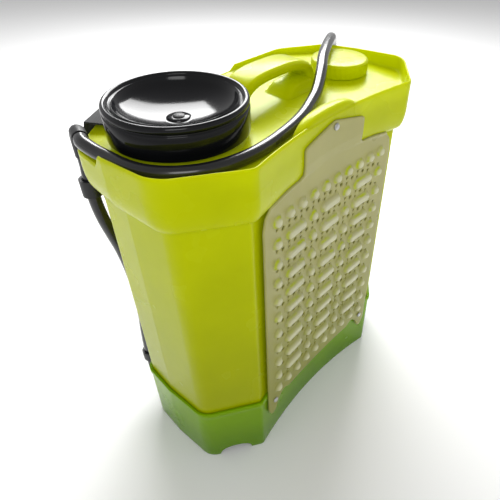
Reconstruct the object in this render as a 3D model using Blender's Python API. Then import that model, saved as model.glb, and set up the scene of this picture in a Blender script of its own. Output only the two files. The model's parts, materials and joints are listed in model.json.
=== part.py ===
"""Backpack sprayer: translucent tank on a separate base, with the pump, the controls and the hose.

All sizes below are millimetres and become metres when a mesh is made.  +Z is up, +Y points away
from the wearer's back, and the big filler lid stands at the -X end.  The origin is on the floor
under the middle of the tank.
"""
import math

import bmesh
import bpy
import numpy as np
from mathutils import Matrix, Vector

for thing in list(bpy.data.objects):
    bpy.data.objects.remove(thing, do_unlink=True)

MM = 0.001
GAP = 0.3                      # clearance between pieces that touch

# Plan of the tank and base, seen from above, at the base's outer wall
HALF_WIDTH = 196.5             # middle to either end face
FRONT = 113.0                  # middle to the wearer side's corners
BACK = 86.0                    # middle to the flat back face
WEARER_HALF = 133.0            # half the width of the hollowed wearer side
WEARER_SAG = 15.0              # how deep the wearer side is hollowed
SHOULDER = 45.0                # how far back the front chamfer runs
END_FOLD_Y = -2.0              # each end face has a slight vertical fold here
BACK_CORNER_IN = 6.0
BACK_CORNER_Y = 48.0
BACK_HALF = 140.0

# Heights
BASE_HEIGHT = 106.0
SHELF_Z = 96.7                 # the tank stands on the base's shelf
COLLAR_Z = 404.0
DECK_Z = 448.0
RIM_Z = 466.0
RIM_FALL = 0.065               # the rim sinks towards the back
LOW_RIM_Z = 449.0              # the part of the back rim beside the lid is cut low
LOW_RIM_X = 55.0
LOW_RIM_Y = 4.0
HUMP_TOP = 472.5

# Walls and steps
TANK_WALL = 3.5
TANK_IN = 3.0                  # tank wall stands this far inside the base's outline
BASE_WALL = 4.0
BASE_LIP = 1.5
COLLAR_OUT = 9.0
RIM_WALL = 3.5
SHELF = 4.0

# Filler, with its lid and basket
LID_RADIUS = 70.0
LID_TOP = 490.5
LID_SKIRT = 33.0
NECK_RADIUS = LID_RADIUS - 8.0
NECK_BORE = NECK_RADIUS - 7.0
NECK_TOP = 474.0
BASKET_DEPTH = 62.0
FILLER_IN = 82.0               # filler axis to the end face
FILLER_Y = -2.0

# Second port and its cap
CAP_RADIUS = 37.0
CAP_TOP = 466.0
PORT_RADIUS = CAP_RADIUS - 6.0
PORT_BORE = PORT_RADIUS - 4.5
PORT_IN = 51.0
PORT_Y = -11.0

# Carrying handle over the deck
HANDLE_LEFT = -42.0
HANDLE_RIGHT = 88.0
HANDLE_TOP = 486.5
HANDLE_DEPTH = 36.0
HANDLE_THICK = 12.5
HANDLE_Y = 2.0

# Back pad
PAD_PITCH_X = 21.7
PAD_PITCH_Z = 28.1
PAD_COLUMNS = 10
PAD_ROWS = 11
PAD_TOP_ROW_Z = 386.0
PAD_THICK = 2.5
PAD_BUMP = 5.0
PAD_FRONT = 114.0
PAD_SAG = 4.5
PAD_SCREW_Z = 452.5

# Hose and its fittings
HOSE_DIAMETER = 14.0
ELBOW_RADIUS = 7.8
OUTLET_Z = 62.0

# Base fittings
COVER_Z = 16.0
COVER_THICK = 3.0
ARCH_HALF = 22.0
ARCH_HEIGHT = 14.0
PANEL_X = 5.0
PANEL_Z = 54.0
PANEL_WIDTH = 130.0
PANEL_HEIGHT = 60.0
PANEL_THICK = 3.0
BATTERY = (150.0, 98.0, 64.0)
BATTERY_X = 22.0
BATTERY_Y = -4.0
PUMP_X = -84.0
PUMP_Y = -8.0
PUMP_Z = 45.0
MOTOR_RADIUS = 20.0

# Spray gun on the back
GUN_X = 66.0
GUN_Y = BACK + 23.0
GUN_BOTTOM = 236.0
GUN_TOP = 404.0
GUN_HALF_X = 14.0
GUN_HALF_Y = 13.0

# Strap webbing
STRAP_WIDTH = 36.0
STRAP_THICK = 2.0
TAIL_WIDTH = 25.0
STRAP_BUCKLE_X = 136.0
STRAP_BUCKLE_Z = 305.0

FILLER_X = -(HALF_WIDTH - FILLER_IN)
PORT_X = HALF_WIDTH - PORT_IN
TANK_BOTTOM = SHELF_Z + GAP
PAD_BOTTOM_ROW_Z = PAD_TOP_ROW_Z - PAD_PITCH_Z * (PAD_ROWS - 1)


# ---------------------------------------------------------------- materials

def finish_of(name, colour, roughness, metallic=0.0, alpha=1.0):
    material = bpy.data.materials.new(name)
    material.use_nodes = True
    shader = material.node_tree.nodes["Principled BSDF"]
    shader.inputs["Base Color"].default_value = (*colour, 1.0)
    shader.inputs["Roughness"].default_value = roughness
    shader.inputs["Metallic"].default_value = metallic
    shader.inputs["Alpha"].default_value = alpha
    return material


TANK_PLASTIC = finish_of("tank_plastic", (0.62, 0.72, 0.01), 0.3)
BASE_PLASTIC = finish_of("base_plastic", (0.24, 0.42, 0.01), 0.4)
PAD_PLASTIC = finish_of("pad_plastic", (0.75, 0.74, 0.62), 0.4)
LID_PLASTIC = finish_of("lid_plastic", (0.012, 0.013, 0.016), 0.15)
BLACK_PLASTIC = finish_of("black_plastic", (0.02, 0.02, 0.02), 0.5)
RED_PLASTIC = finish_of("red_plastic", (0.5, 0.02, 0.02), 0.35)
HOSE_RUBBER = finish_of("hose_rubber", (0.015, 0.015, 0.018), 0.2)
SEAL_RUBBER = finish_of("seal_rubber", (0.03, 0.03, 0.03), 0.7)
WEBBING = finish_of("webbing", (0.015, 0.015, 0.016), 0.9)
STEEL = finish_of("steel", (0.55, 0.55, 0.55), 0.3, 1.0)
BRASS = finish_of("brass", (0.7, 0.5, 0.2), 0.3, 1.0)
LENS_PLASTIC = finish_of("lens_plastic", (0.05, 0.06, 0.07), 0.1)
MESH_PLASTIC = finish_of("mesh_plastic", (0.8, 0.8, 0.78), 0.5)


# ---------------------------------------------------------------- shaping tools

def solid(name, bm, material):
    """Turns a bmesh in millimetres into an object in metres, with its faces pointing out."""
    bmesh.ops.remove_doubles(bm, verts=bm.verts, dist=0.001)
    bmesh.ops.recalc_face_normals(bm, faces=bm.faces)
    bmesh.ops.scale(bm, vec=(MM, MM, MM), verts=bm.verts)
    mesh = bpy.data.meshes.new(name)
    bm.to_mesh(mesh)
    bm.free()
    if material:
        mesh.materials.append(material)
    mesh.shade_smooth()
    mesh.set_sharp_from_angle(angle=math.radians(35))
    piece = bpy.data.objects.new(name, mesh)
    bpy.context.collection.objects.link(piece)
    return piece


def loft(rings, bm=None, loop=False):
    """Skins rings of equal length; the two end rings are capped unless the rings close a loop."""
    bm = bm or bmesh.new()
    rows = [[bm.verts.new(tuple(point)) for point in ring] for ring in rings]
    pairs = list(zip(rows, rows[1:]))
    if loop:
        pairs.append((rows[-1], rows[0]))
    for low, high in pairs:
        for i in range(len(low)):
            j = (i + 1) % len(low)
            bm.faces.new((low[i], low[j], high[j], high[i]))
    if not loop:
        bm.faces.new(rows[0][::-1])
        bm.faces.new(rows[-1])
    return bm


def prism(points, low, high, bm=None):
    return loft([[(x, y, low) for x, y in points], [(x, y, high) for x, y in points]], bm)


def box(low, high, bm=None):
    x0, y0, z0 = low
    x1, y1, z1 = high
    return prism([(x0, y0), (x1, y0), (x1, y1), (x0, y1)], z0, z1, bm)


def turned(profile, centre=(0, 0, 0), axis="Z", steps=24, bm=None):
    """Turns (radius, height) points about an axis; a profile off the axis closes on itself."""
    bm = bm or bmesh.new()
    spot = Vector(centre)
    turn = {"Z": Matrix(), "Y": Matrix.Rotation(math.radians(-90), 4, "X"),
            "X": Matrix.Rotation(math.radians(90), 4, "Y")}[axis]
    rings = []
    for radius, height in profile:
        count = 1 if radius < 1e-6 else steps
        ring = []
        for i in range(count):
            angle = 2 * math.pi * i / steps
            point = Vector((radius * math.cos(angle), radius * math.sin(angle), height))
            ring.append(bm.verts.new(spot + turn @ point))
        rings.append(ring)
    pairs = list(zip(rings, rings[1:]))
    if len(rings[0]) > 1 and len(rings[-1]) > 1:
        pairs.append((rings[-1], rings[0]))
    for low, high in pairs:
        for i in range(steps):
            j = (i + 1) % steps
            if len(low) == 1:
                bm.faces.new((low[0], high[j], high[i]))
            elif len(high) == 1:
                bm.faces.new((low[i], low[j], high[0]))
            else:
                bm.faces.new((low[i], low[j], high[j], high[i]))
    return bm


def rod(radius, start, end, steps=16, bm=None):
    """A plain cylinder between two points."""
    start, end = Vector(start), Vector(end)
    along = (end - start).normalized()
    side = along.orthogonal().normalized()
    other = along.cross(side)
    rings = []
    for spot in (start, end):
        rings.append([spot + radius * (math.cos(a) * side + math.sin(a) * other)
                      for a in np.arange(steps) * 2 * math.pi / steps])
    return loft(rings, bm)


def rounded_box_outline(width, height, radius, steps=3):
    """Outline of a rectangle with round corners, centred on zero."""
    points = []
    for cx, cy, start in ((1, 1, 0), (-1, 1, 90), (-1, -1, 180), (1, -1, 270)):
        for k in range(steps + 1):
            angle = math.radians(start + 90 * k / steps)
            points.append((cx * (width / 2 - radius) + radius * math.cos(angle),
                           cy * (height / 2 - radius) + radius * math.sin(angle)))
    return points


def sweep(path, section, side, bm=None):
    """Carries a flat section along a path; its first coordinate stays on the side direction."""
    path = [Vector(point) for point in path]
    side = Vector(side).normalized()
    rings = []
    for i, spot in enumerate(path):
        ahead = path[min(i + 1, len(path) - 1)] - path[max(i - 1, 0)]
        normal = ahead.normalized().cross(side).normalized()
        rings.append([spot + a * side + b * normal for a, b in section])
    return loft(rings, bm)


def smooth_path(points, spacing):
    """Points at even spacing along a Catmull-Rom curve through the route's own points."""
    route = np.array(points, dtype=float)
    ends = np.vstack([2 * route[0] - route[1], route, 2 * route[-1] - route[-2]])
    dense = []
    for i in range(len(route) - 1):
        a, b, c, d = ends[i:i + 4]
        for t in np.arange(0, 1, 0.02):
            dense.append(0.5 * (2 * b + (c - a) * t + (2 * a - 5 * b + 4 * c - d) * t ** 2
                                + (3 * b - a - 3 * c + d) * t ** 3))
    dense.append(route[-1])
    dense = np.array(dense)
    travelled = np.concatenate([[0], np.cumsum(np.linalg.norm(np.diff(dense, axis=0), axis=1))])
    count = max(2, int(round(travelled[-1] / spacing)))
    stops = np.linspace(0, travelled[-1], count + 1)
    return np.column_stack([np.interp(stops, travelled, dense[:, k]) for k in range(3)])


def cord(name, points, diameter, material, spacing=2.4):
    """A hose: a curve with a round bevel along a smooth route."""
    route = smooth_path(points, spacing * diameter) * MM
    curve = bpy.data.curves.new(name, "CURVE")
    curve.dimensions = "3D"
    curve.bevel_depth = diameter / 2 * MM
    curve.bevel_resolution = 3
    curve.use_fill_caps = True
    spline = curve.splines.new("POLY")
    spline.points.add(len(route) - 1)
    for point, spot in zip(spline.points, route):
        point.co = (*spot, 1.0)
    curve.materials.append(material)
    piece = bpy.data.objects.new(name, curve)
    bpy.context.collection.objects.link(piece)
    return piece


def combine(piece, bm, operation="DIFFERENCE"):
    """Adds or cuts a hidden shape with an exact Boolean."""
    tool = solid(f"{piece.name}_tool", bm, None)
    tool.hide_render = True
    tool.display_type = "WIRE"
    change = piece.modifiers.new(operation.lower(), "BOOLEAN")
    change.operation = operation
    change.object = tool
    return piece


def hang_on(piece, spot):
    """Puts a moving piece's origin on its joint's axis without moving the piece."""
    spot = Vector(spot) * MM
    piece.data.transform(Matrix.Translation(-spot))
    piece.location = spot
    return piece


# ---------------------------------------------------------------- plan outline

def plan_corners():
    """Corners of half the plan with their fillet radius and steps, anticlockwise from the front."""
    return [(WEARER_HALF, -FRONT, 9.0, 2), (HALF_WIDTH, -FRONT + SHOULDER, 26.0, 4),
            (HALF_WIDTH, END_FOLD_Y, 0.0, 0),
            (HALF_WIDTH - BACK_CORNER_IN, BACK_CORNER_Y, 15.0, 3),
            (BACK_HALF, BACK, 18.0, 3)]


def plan_outline(grow):
    """The plan pushed out by grow: straight sides, filleted corners and the hollowed front."""
    half = plan_corners()
    corners = half + [(-x, y, radius, steps) for x, y, radius, steps in reversed(half)]
    spots = np.array([corner[:2] for corner in corners])
    count = len(spots)
    moved = []
    for i in range(count):
        before = spots[i] - spots[i - 1]
        after = spots[(i + 1) % count] - spots[i]
        n0 = np.array([before[1], -before[0]]) / np.linalg.norm(before)
        n1 = np.array([after[1], -after[0]]) / np.linalg.norm(after)
        bisector = n0 + n1
        moved.append(spots[i] + bisector * grow / bisector.dot(n0))
    outline = []
    for i in range(count):
        radius, steps = corners[i][2:]
        if not steps:
            outline.append(tuple(moved[i]))
            continue
        radius = max(radius + grow, 2.0)
        to_before = moved[i - 1] - moved[i]
        to_after = moved[(i + 1) % count] - moved[i]
        to_before /= np.linalg.norm(to_before)
        to_after /= np.linalg.norm(to_after)
        half_angle = math.acos(np.clip(to_before.dot(to_after), -1, 1)) / 2
        reach = radius / math.tan(half_angle)
        middle = to_before + to_after
        centre = moved[i] + middle / np.linalg.norm(middle) * radius / math.sin(half_angle)
        start = moved[i] + to_before * reach - centre
        sweep_angle = math.pi - 2 * half_angle
        for k in range(steps + 1):
            angle = sweep_angle * k / steps
            outline.append(tuple(centre + Matrix.Rotation(angle, 2) @ Vector(start)))
        if i == len(half) - 1:
            for x in (LOW_RIM_X + 3, LOW_RIM_X):
                outline.append((x, BACK + grow))
        if i == len(half) + 1:
            ahead = moved[i + 1] - moved[i]
            for y in (LOW_RIM_Y + 3, LOW_RIM_Y):
                outline.append(tuple(moved[i] + ahead * (y - moved[i][1]) / ahead[1]))
    edge = outline[0][0]
    for k in range(1, 10):
        x = -edge + 2 * edge * k / 10
        outline.append((x, front_face(x, grow)))
    return outline


def front_face(x, grow):
    """Where the hollowed wearer side lies at x, as a shallow parabola."""
    return -(FRONT + grow) + WEARER_SAG * (1 - (x / WEARER_HALF) ** 2)


def ring(grow, height):
    """The plan at a height, which may depend on where the point lies."""
    return [(x, y, height(x, y) if callable(height) else height) for x, y in plan_outline(grow)]


def rim_height(x, y):
    """The rim sinks towards the back and is cut low beside the lid."""
    if y > LOW_RIM_Y + 1 and x < LOW_RIM_X + 1:
        return LOW_RIM_Z
    return RIM_Z - RIM_FALL * max(0.0, y + FRONT - SHOULDER)


# the back left chamfer, where the hose and a strap leave the tank
CHAMFER_START = Vector((-(HALF_WIDTH - BACK_CORNER_IN), BACK_CORNER_Y, 0))
CHAMFER_END = Vector((-BACK_HALF, BACK, 0))
CHAMFER_MIDDLE = (CHAMFER_START + CHAMFER_END) / 2
CHAMFER_ALONG = (CHAMFER_END - CHAMFER_START).normalized()
CHAMFER_OUT = Vector((-CHAMFER_ALONG.y, CHAMFER_ALONG.x, 0))


def on_chamfer(along, out, height, mirror=False):
    """A point by its place along the back chamfer, out from it, and up."""
    spot = CHAMFER_MIDDLE + along * CHAMFER_ALONG + out * CHAMFER_OUT
    return Vector((-spot.x if mirror else spot.x, spot.y, height))


# ---------------------------------------------------------------- tank

def make_tank():
    wall = -TANK_IN
    rim_in = COLLAR_OUT - RIM_WALL
    shell = loft([ring(wall - 3, TANK_BOTTOM), ring(wall, TANK_BOTTOM + 3), ring(wall, COLLAR_Z),
                  ring(COLLAR_OUT - 5, COLLAR_Z + 3), ring(COLLAR_OUT - 1, COLLAR_Z + 12),
                  ring(COLLAR_OUT, COLLAR_Z + 24), ring(COLLAR_OUT, lambda x, y: rim_height(x, y) - 3),
                  ring(COLLAR_OUT - 1, lambda x, y: rim_height(x, y) - 0.8),
                  ring(COLLAR_OUT - 2, rim_height),
                  ring(rim_in + 0.5, rim_height),
                  ring(rim_in, lambda x, y: max(DECK_Z + 0.5, rim_height(x, y) - 1)),
                  ring(rim_in, DECK_Z)])
    tank = solid("tank", shell, TANK_PLASTIC)

    bottom = DECK_Z - 1.5
    thread = [(NECK_RADIUS, bottom)]
    for height in (NECK_TOP - 13, NECK_TOP - 7):
        thread += [(NECK_RADIUS, height - 1.6), (NECK_RADIUS + 1.8, height), (NECK_RADIUS, height + 1.6)]
    neck = turned([(0, bottom)] + thread + [(NECK_RADIUS, NECK_TOP), (0, NECK_TOP)],
                  (FILLER_X, FILLER_Y, 0), steps=32)
    turned([(0, bottom), (PORT_RADIUS, bottom), (PORT_RADIUS, CAP_TOP - 5.5), (0, CAP_TOP - 5.5)],
           (PORT_X, PORT_Y, 0), steps=28, bm=neck)
    rod(8, (PUMP_X, PUMP_Y, TANK_BOTTOM - 17), (PUMP_X, PUMP_Y, TANK_BOTTOM + 1), bm=neck)
    combine(tank, neck, "UNION")
    combine(tank, handle_shape(), "UNION")
    combine(tank, handle_root_shape(), "UNION")
    combine(tank, hump_shape(), "UNION")

    inside = -TANK_IN - TANK_WALL
    cavity = loft([ring(inside, TANK_BOTTOM + TANK_WALL), ring(inside, COLLAR_Z + 2),
                   ring(COLLAR_OUT - RIM_WALL - 0.5, COLLAR_Z + 20),
                   ring(COLLAR_OUT - RIM_WALL - 0.5, DECK_Z - TANK_WALL)])
    combine(tank, cavity)
    bores = rod(NECK_BORE, (FILLER_X, FILLER_Y, DECK_Z + 4), (FILLER_X, FILLER_Y, NECK_TOP + 5), 36)
    rod(PORT_BORE, (PORT_X, PORT_Y, DECK_Z - 8), (PORT_X, PORT_Y, CAP_TOP), 28, bores)
    rod(5, (PUMP_X, PUMP_Y, TANK_BOTTOM - 20), (PUMP_X, PUMP_Y, TANK_BOTTOM + TANK_WALL + 2), bm=bores)
    rod(1.9, (0, -FRONT - COLLAR_OUT, PAD_SCREW_Z), (0, -FRONT + 19, PAD_SCREW_Z), 10, bores)
    combine(tank, bores)
    throat = rod(NECK_BORE - 3.5, (FILLER_X, FILLER_Y, DECK_Z - 8), (FILLER_X, FILLER_Y, DECK_Z + 5), 36)
    combine(tank, throat)
    return tank


def handle_shape():
    """A wide arch over the deck, thick where it meets it."""
    rise = HANDLE_TOP - HANDLE_THICK / 2 - DECK_Z
    middle = (HANDLE_LEFT + HANDLE_RIGHT) / 2
    half = (HANDLE_RIGHT - HANDLE_LEFT - HANDLE_THICK) / 2
    path = []
    for angle in np.linspace(math.pi, 0, 19):
        flat = abs(math.cos(angle)) ** 0.72 * math.copysign(1, math.cos(angle))
        path.append((middle + half * flat, HANDLE_Y, DECK_Z + rise * math.sin(angle) ** 0.62))
    path[0] = (middle - half, HANDLE_Y, DECK_Z - 1.5)
    path[-1] = (middle + half, HANDLE_Y, DECK_Z - 1.5)
    section = rounded_box_outline(HANDLE_DEPTH, HANDLE_THICK, 5, 2)
    return sweep(path, section, (0, 1, 0))


def handle_root_shape():
    """The swelling of the deck under the handle's right leg."""
    x0, x1 = HANDLE_RIGHT - 62, HANDLE_RIGHT - 5
    y0, y1 = HANDLE_Y - HANDLE_DEPTH / 2 - 8, HANDLE_Y + HANDLE_DEPTH / 2 - 3
    levels = ((DECK_Z - 1.5, 0, 0), (DECK_Z + 7, 1, 4), (DECK_Z + 12, 5, 18))
    rings = []
    for height, step, shift in levels:
        outline = rounded_box_outline(x1 - x0 - shift - step, y1 - y0 - 2 * step, 7, 2)
        cx = (x0 + x1 + shift + step) / 2 - step / 2
        rings.append([(cx + x, (y0 + y1) / 2 + y, height) for x, y in outline])
    return loft(rings)


def hump_shape():
    """The rim swells up in the middle of the wearer side, like a thick bead."""
    rings = []
    for x in np.linspace(-58, 48, 17):
        share = abs(x + 5) / 53
        top = DECK_Z + 10 + (HUMP_TOP - DECK_Z - 10) * (1 - share ** 4) ** 0.8
        face = front_face(x, COLLAR_OUT)
        depth = 18 - 6 * share
        rings.append([(x, face + 0.6, DECK_Z - 1.5), (x, face + 0.6, top - 7), (x, face + 3, top - 2),
                      (x, face + 6, top), (x, face + depth - 5, top), (x, face + depth - 1.5, top - 2.5),
                      (x, face + depth, top - 7), (x, face + depth + 2, DECK_Z - 1.5)])
    return loft(rings)


# ---------------------------------------------------------------- filler lid and basket

def make_filler():
    x, y = FILLER_X, FILLER_Y
    top, radius = LID_TOP, LID_RADIUS
    outer = [(radius - 0.6, top - LID_SKIRT), (radius, top - LID_SKIRT + 1), (radius, top - 9),
             (radius - 1.8, top - 7.5), (radius, top - 6), (radius, top - 3), (radius - 1.2, top - 1),
             (radius - 3.5, top), (radius - 7.5, top - 1.2), (radius - 10.5, top - 2.2)]
    bowl = [(radius - 13, top - 6), (radius - 18, top - 11), (radius - 27, top - 16),
            (radius - 40, top - 20), (radius - 58, top - 22.2)]
    boss = [(11, top - 22.2), (10, top - 20.2), (2.4, top - 20.2), (2.4, top - 25.5)]
    under = [(radius - 46, top - 24), (radius - 34, top - 21.8), (radius - 24, top - 17.5),
             (radius - 18.5, top - 13.4), (radius - 16.5, top - 12.5),
             (NECK_RADIUS + 3.3, top - 12.5), (NECK_RADIUS + 3.3, top - LID_SKIRT)]
    lid = solid("filler_lid", turned(outer + bowl + boss + under, (x, y, 0), steps=36), LID_PLASTIC)
    hang_on(lid, (x, y, NECK_TOP))
    gasket_low = NECK_TOP + GAP
    gasket = [(NECK_BORE + 0.6, gasket_low), (NECK_RADIUS - 0.6, gasket_low),
              (NECK_RADIUS - 0.6, top - 12.5 - GAP), (NECK_BORE + 0.6, top - 12.5 - GAP)]
    solid("lid_gasket", turned(gasket, (x, y, 0), steps=32), SEAL_RUBBER)
    stem_top = top - 20.2 + GAP
    valve = [(0, stem_top + 1.6), (4.8, stem_top + 1.2), (6, stem_top + 0.4), (6, stem_top), (2, stem_top),
             (2, top - 28), (4, top - 28.4), (4, top - 29.6), (0, top - 29.6)]
    valve = solid("vent_valve", turned(valve, (x, y, 0), steps=16), BLACK_PLASTIC)
    hang_on(valve, (x, y, stem_top))

    seat = DECK_Z + 4 + GAP
    wall = NECK_BORE - 4.2
    foot = seat - BASKET_DEPTH
    basket = turned([(0, foot + 2), (wall - 7, foot + 2), (wall - 2, seat + 2), (NECK_BORE - 0.6, seat + 2),
                     (NECK_BORE - 0.6, seat), (wall, seat), (wall - 5, foot), (0, foot)],
                    (x, y, 0), steps=28)
    basket = solid("strainer_basket", basket, MESH_PLASTIC)
    slots = bmesh.new()
    for i in range(16):
        angle = math.pi * (i + 0.5) / 8
        out = Vector((math.cos(angle), math.sin(angle), 0))
        for low, high in ((foot + 6, foot + 28), (foot + 33, foot + 54)):
            start = Vector((x, y, (low + high) / 2)) + out * (wall - 14)
            end = start + out * 20
            section = [(a, b) for a, b in ((-5, low - high), (5, low - high), (5, high - low), (-5, high - low))]
            rings = [[spot + a * Vector((-out.y, out.x, 0)) + Vector((0, 0, b / 2)) for a, b in section]
                     for spot in (start, end)]
            loft(rings, slots)
    combine(basket, slots)


def make_port_cap():
    x, y, top, radius = PORT_X, PORT_Y, CAP_TOP, CAP_RADIUS
    cap = [(0, top), (radius - 2.5, top), (radius - 0.7, top - 0.7), (radius, top - 2.5),
           (radius, DECK_Z + 1), (PORT_RADIUS + 2.8, DECK_Z + 1), (PORT_RADIUS + 2.8, top - 2.8),
           (0, top - 2.8)]
    hang_on(solid("port_cap", turned(cap, (x, y, 0), steps=36), TANK_PLASTIC), (x, y, DECK_Z))
    seal = [(PORT_BORE + 0.3, top - 5.5 + GAP), (PORT_RADIUS - 0.4, top - 5.5 + GAP),
            (PORT_RADIUS - 0.4, top - 2.8 - GAP), (PORT_BORE + 0.3, top - 2.8 - GAP)]
    solid("port_gasket", turned(seal, (x, y, 0), steps=28), SEAL_RUBBER)


# ---------------------------------------------------------------- base

POSTS = [(-150, -FRONT + 51), (150, -FRONT + 51), (-120, BACK - 14), (120, BACK - 14)]


def arch_cutter(middle, out, bm):
    """A low arch through the wall at the floor, with round shoulders."""
    along = Vector((-out.y, out.x, 0))
    outline = [(-ARCH_HALF, -5.0)]
    for angle in np.linspace(math.pi, 0, 9):
        outline.append((ARCH_HALF * math.cos(angle), ARCH_HEIGHT * math.sin(angle) ** 0.7))
    outline.append((ARCH_HALF, -5.0))
    rings = [[middle + depth * out + a * along + Vector((0, 0, b)) for a, b in outline]
             for depth in (-BASE_WALL - 6, 8)]
    return loft(rings, bm)


def make_base():
    shell = loft([ring(-1.2, 0), ring(0, 2), ring(0, BASE_HEIGHT - 10), ring(BASE_LIP, BASE_HEIGHT - 7),
                  ring(BASE_LIP, BASE_HEIGHT - 1), ring(BASE_LIP - 1, BASE_HEIGHT)])
    base = solid("base", shell, BASE_PLASTIC)
    combine(base, loft([ring(-TANK_IN + 0.4, SHELF_Z), ring(-TANK_IN + 0.4, BASE_HEIGHT + 2)]))
    combine(base, loft([ring(-BASE_WALL, -2), ring(-BASE_WALL, SHELF_Z - SHELF)]))
    posts = bmesh.new()
    for x, y in POSTS:
        rod(7, (x, y, COVER_Z + COVER_THICK + GAP), (x, y, SHELF_Z - SHELF + 1), 12, posts)
    for side in (-1, 1):
        face = front_face(105, 0)
        rod(5, (side * 105, face + 2, 83), (side * 105, pad_face(99) + PAD_THICK + GAP, 83), 12, posts)
    combine(base, posts, "UNION")
    holes = bmesh.new()
    for x, y in POSTS:
        rod(2.1, (x, y, COVER_Z), (x, y, 40), 10, holes)
    for side in (-1, 1):
        rod(1.9, (side * 105, -FRONT - 8, 83), (side * 105, -FRONT + 18, 83), 10, holes)
    rod(9.2, (PUMP_X, PUMP_Y, SHELF_Z - 8), (PUMP_X, PUMP_Y, SHELF_Z + 3), 20, holes)
    box((PANEL_X - PANEL_WIDTH / 2 + 10, BACK - 12, PANEL_Z - PANEL_HEIGHT / 2 + 8),
        (PANEL_X + PANEL_WIDTH / 2 - 10, BACK + 5, PANEL_Z + PANEL_HEIGHT / 2 - 8), holes)
    for mirror in (False, True):
        sign = 1 if mirror else -1
        front_a = Vector((sign * HALF_WIDTH, -FRONT + SHOULDER, 0))
        front_b = Vector((sign * WEARER_HALF, -FRONT, 0))
        out = (front_b - front_a).normalized().cross(Vector((0, 0, sign)))
        arch_cutter((front_a + front_b) / 2, -out if out.y > 0 else out, holes)
        back_out = Vector((-CHAMFER_OUT.x if mirror else CHAMFER_OUT.x, CHAMFER_OUT.y, 0))
        arch_cutter(on_chamfer(0, 0, 0, mirror), back_out, holes)
    rod(7.5, on_chamfer(10, -BASE_WALL - 4, OUTLET_Z), on_chamfer(10, 4, OUTLET_Z), 20, holes)
    combine(base, holes)


def make_cover():
    cover = solid("base_cover", loft([ring(-BASE_WALL - 0.6, COVER_Z),
                                      ring(-BASE_WALL - 0.6, COVER_Z + COVER_THICK)]), BLACK_PLASTIC)
    holes = bmesh.new()
    for x, y in POSTS:
        rod(2.3, (x, y, COVER_Z - 2), (x, y, COVER_Z + 8), 12, holes)
    combine(cover, holes)
    for number, (x, y) in enumerate(POSTS, 1):
        screw = [(0, COVER_Z - GAP - 2.4), (3.2, COVER_Z - GAP - 2.4), (4, COVER_Z - GAP - 1.4),
                 (4, COVER_Z - GAP), (1.8, COVER_Z - GAP), (1.8, 38), (0, 39.5)]
        solid(f"cover_screw_{number}", turned(screw, (x, y, 0), steps=12), STEEL)


# ---------------------------------------------------------------- controls on the back of the base

SWITCH_X = PANEL_X - 38
KNOB_X = PANEL_X + 2
SOCKET_X = PANEL_X + 40
PANEL_FACE = BACK + GAP + PANEL_THICK
KNOB_Z = PANEL_Z - 5


def on_panel(outline, low, high, x, z, bm=None):
    """A shape drawn on the panel's face and given depth along +Y."""
    rings = [[(x + a, depth, z + b) for a, b in outline] for depth in (low, high)]
    return loft(rings, bm)


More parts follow.
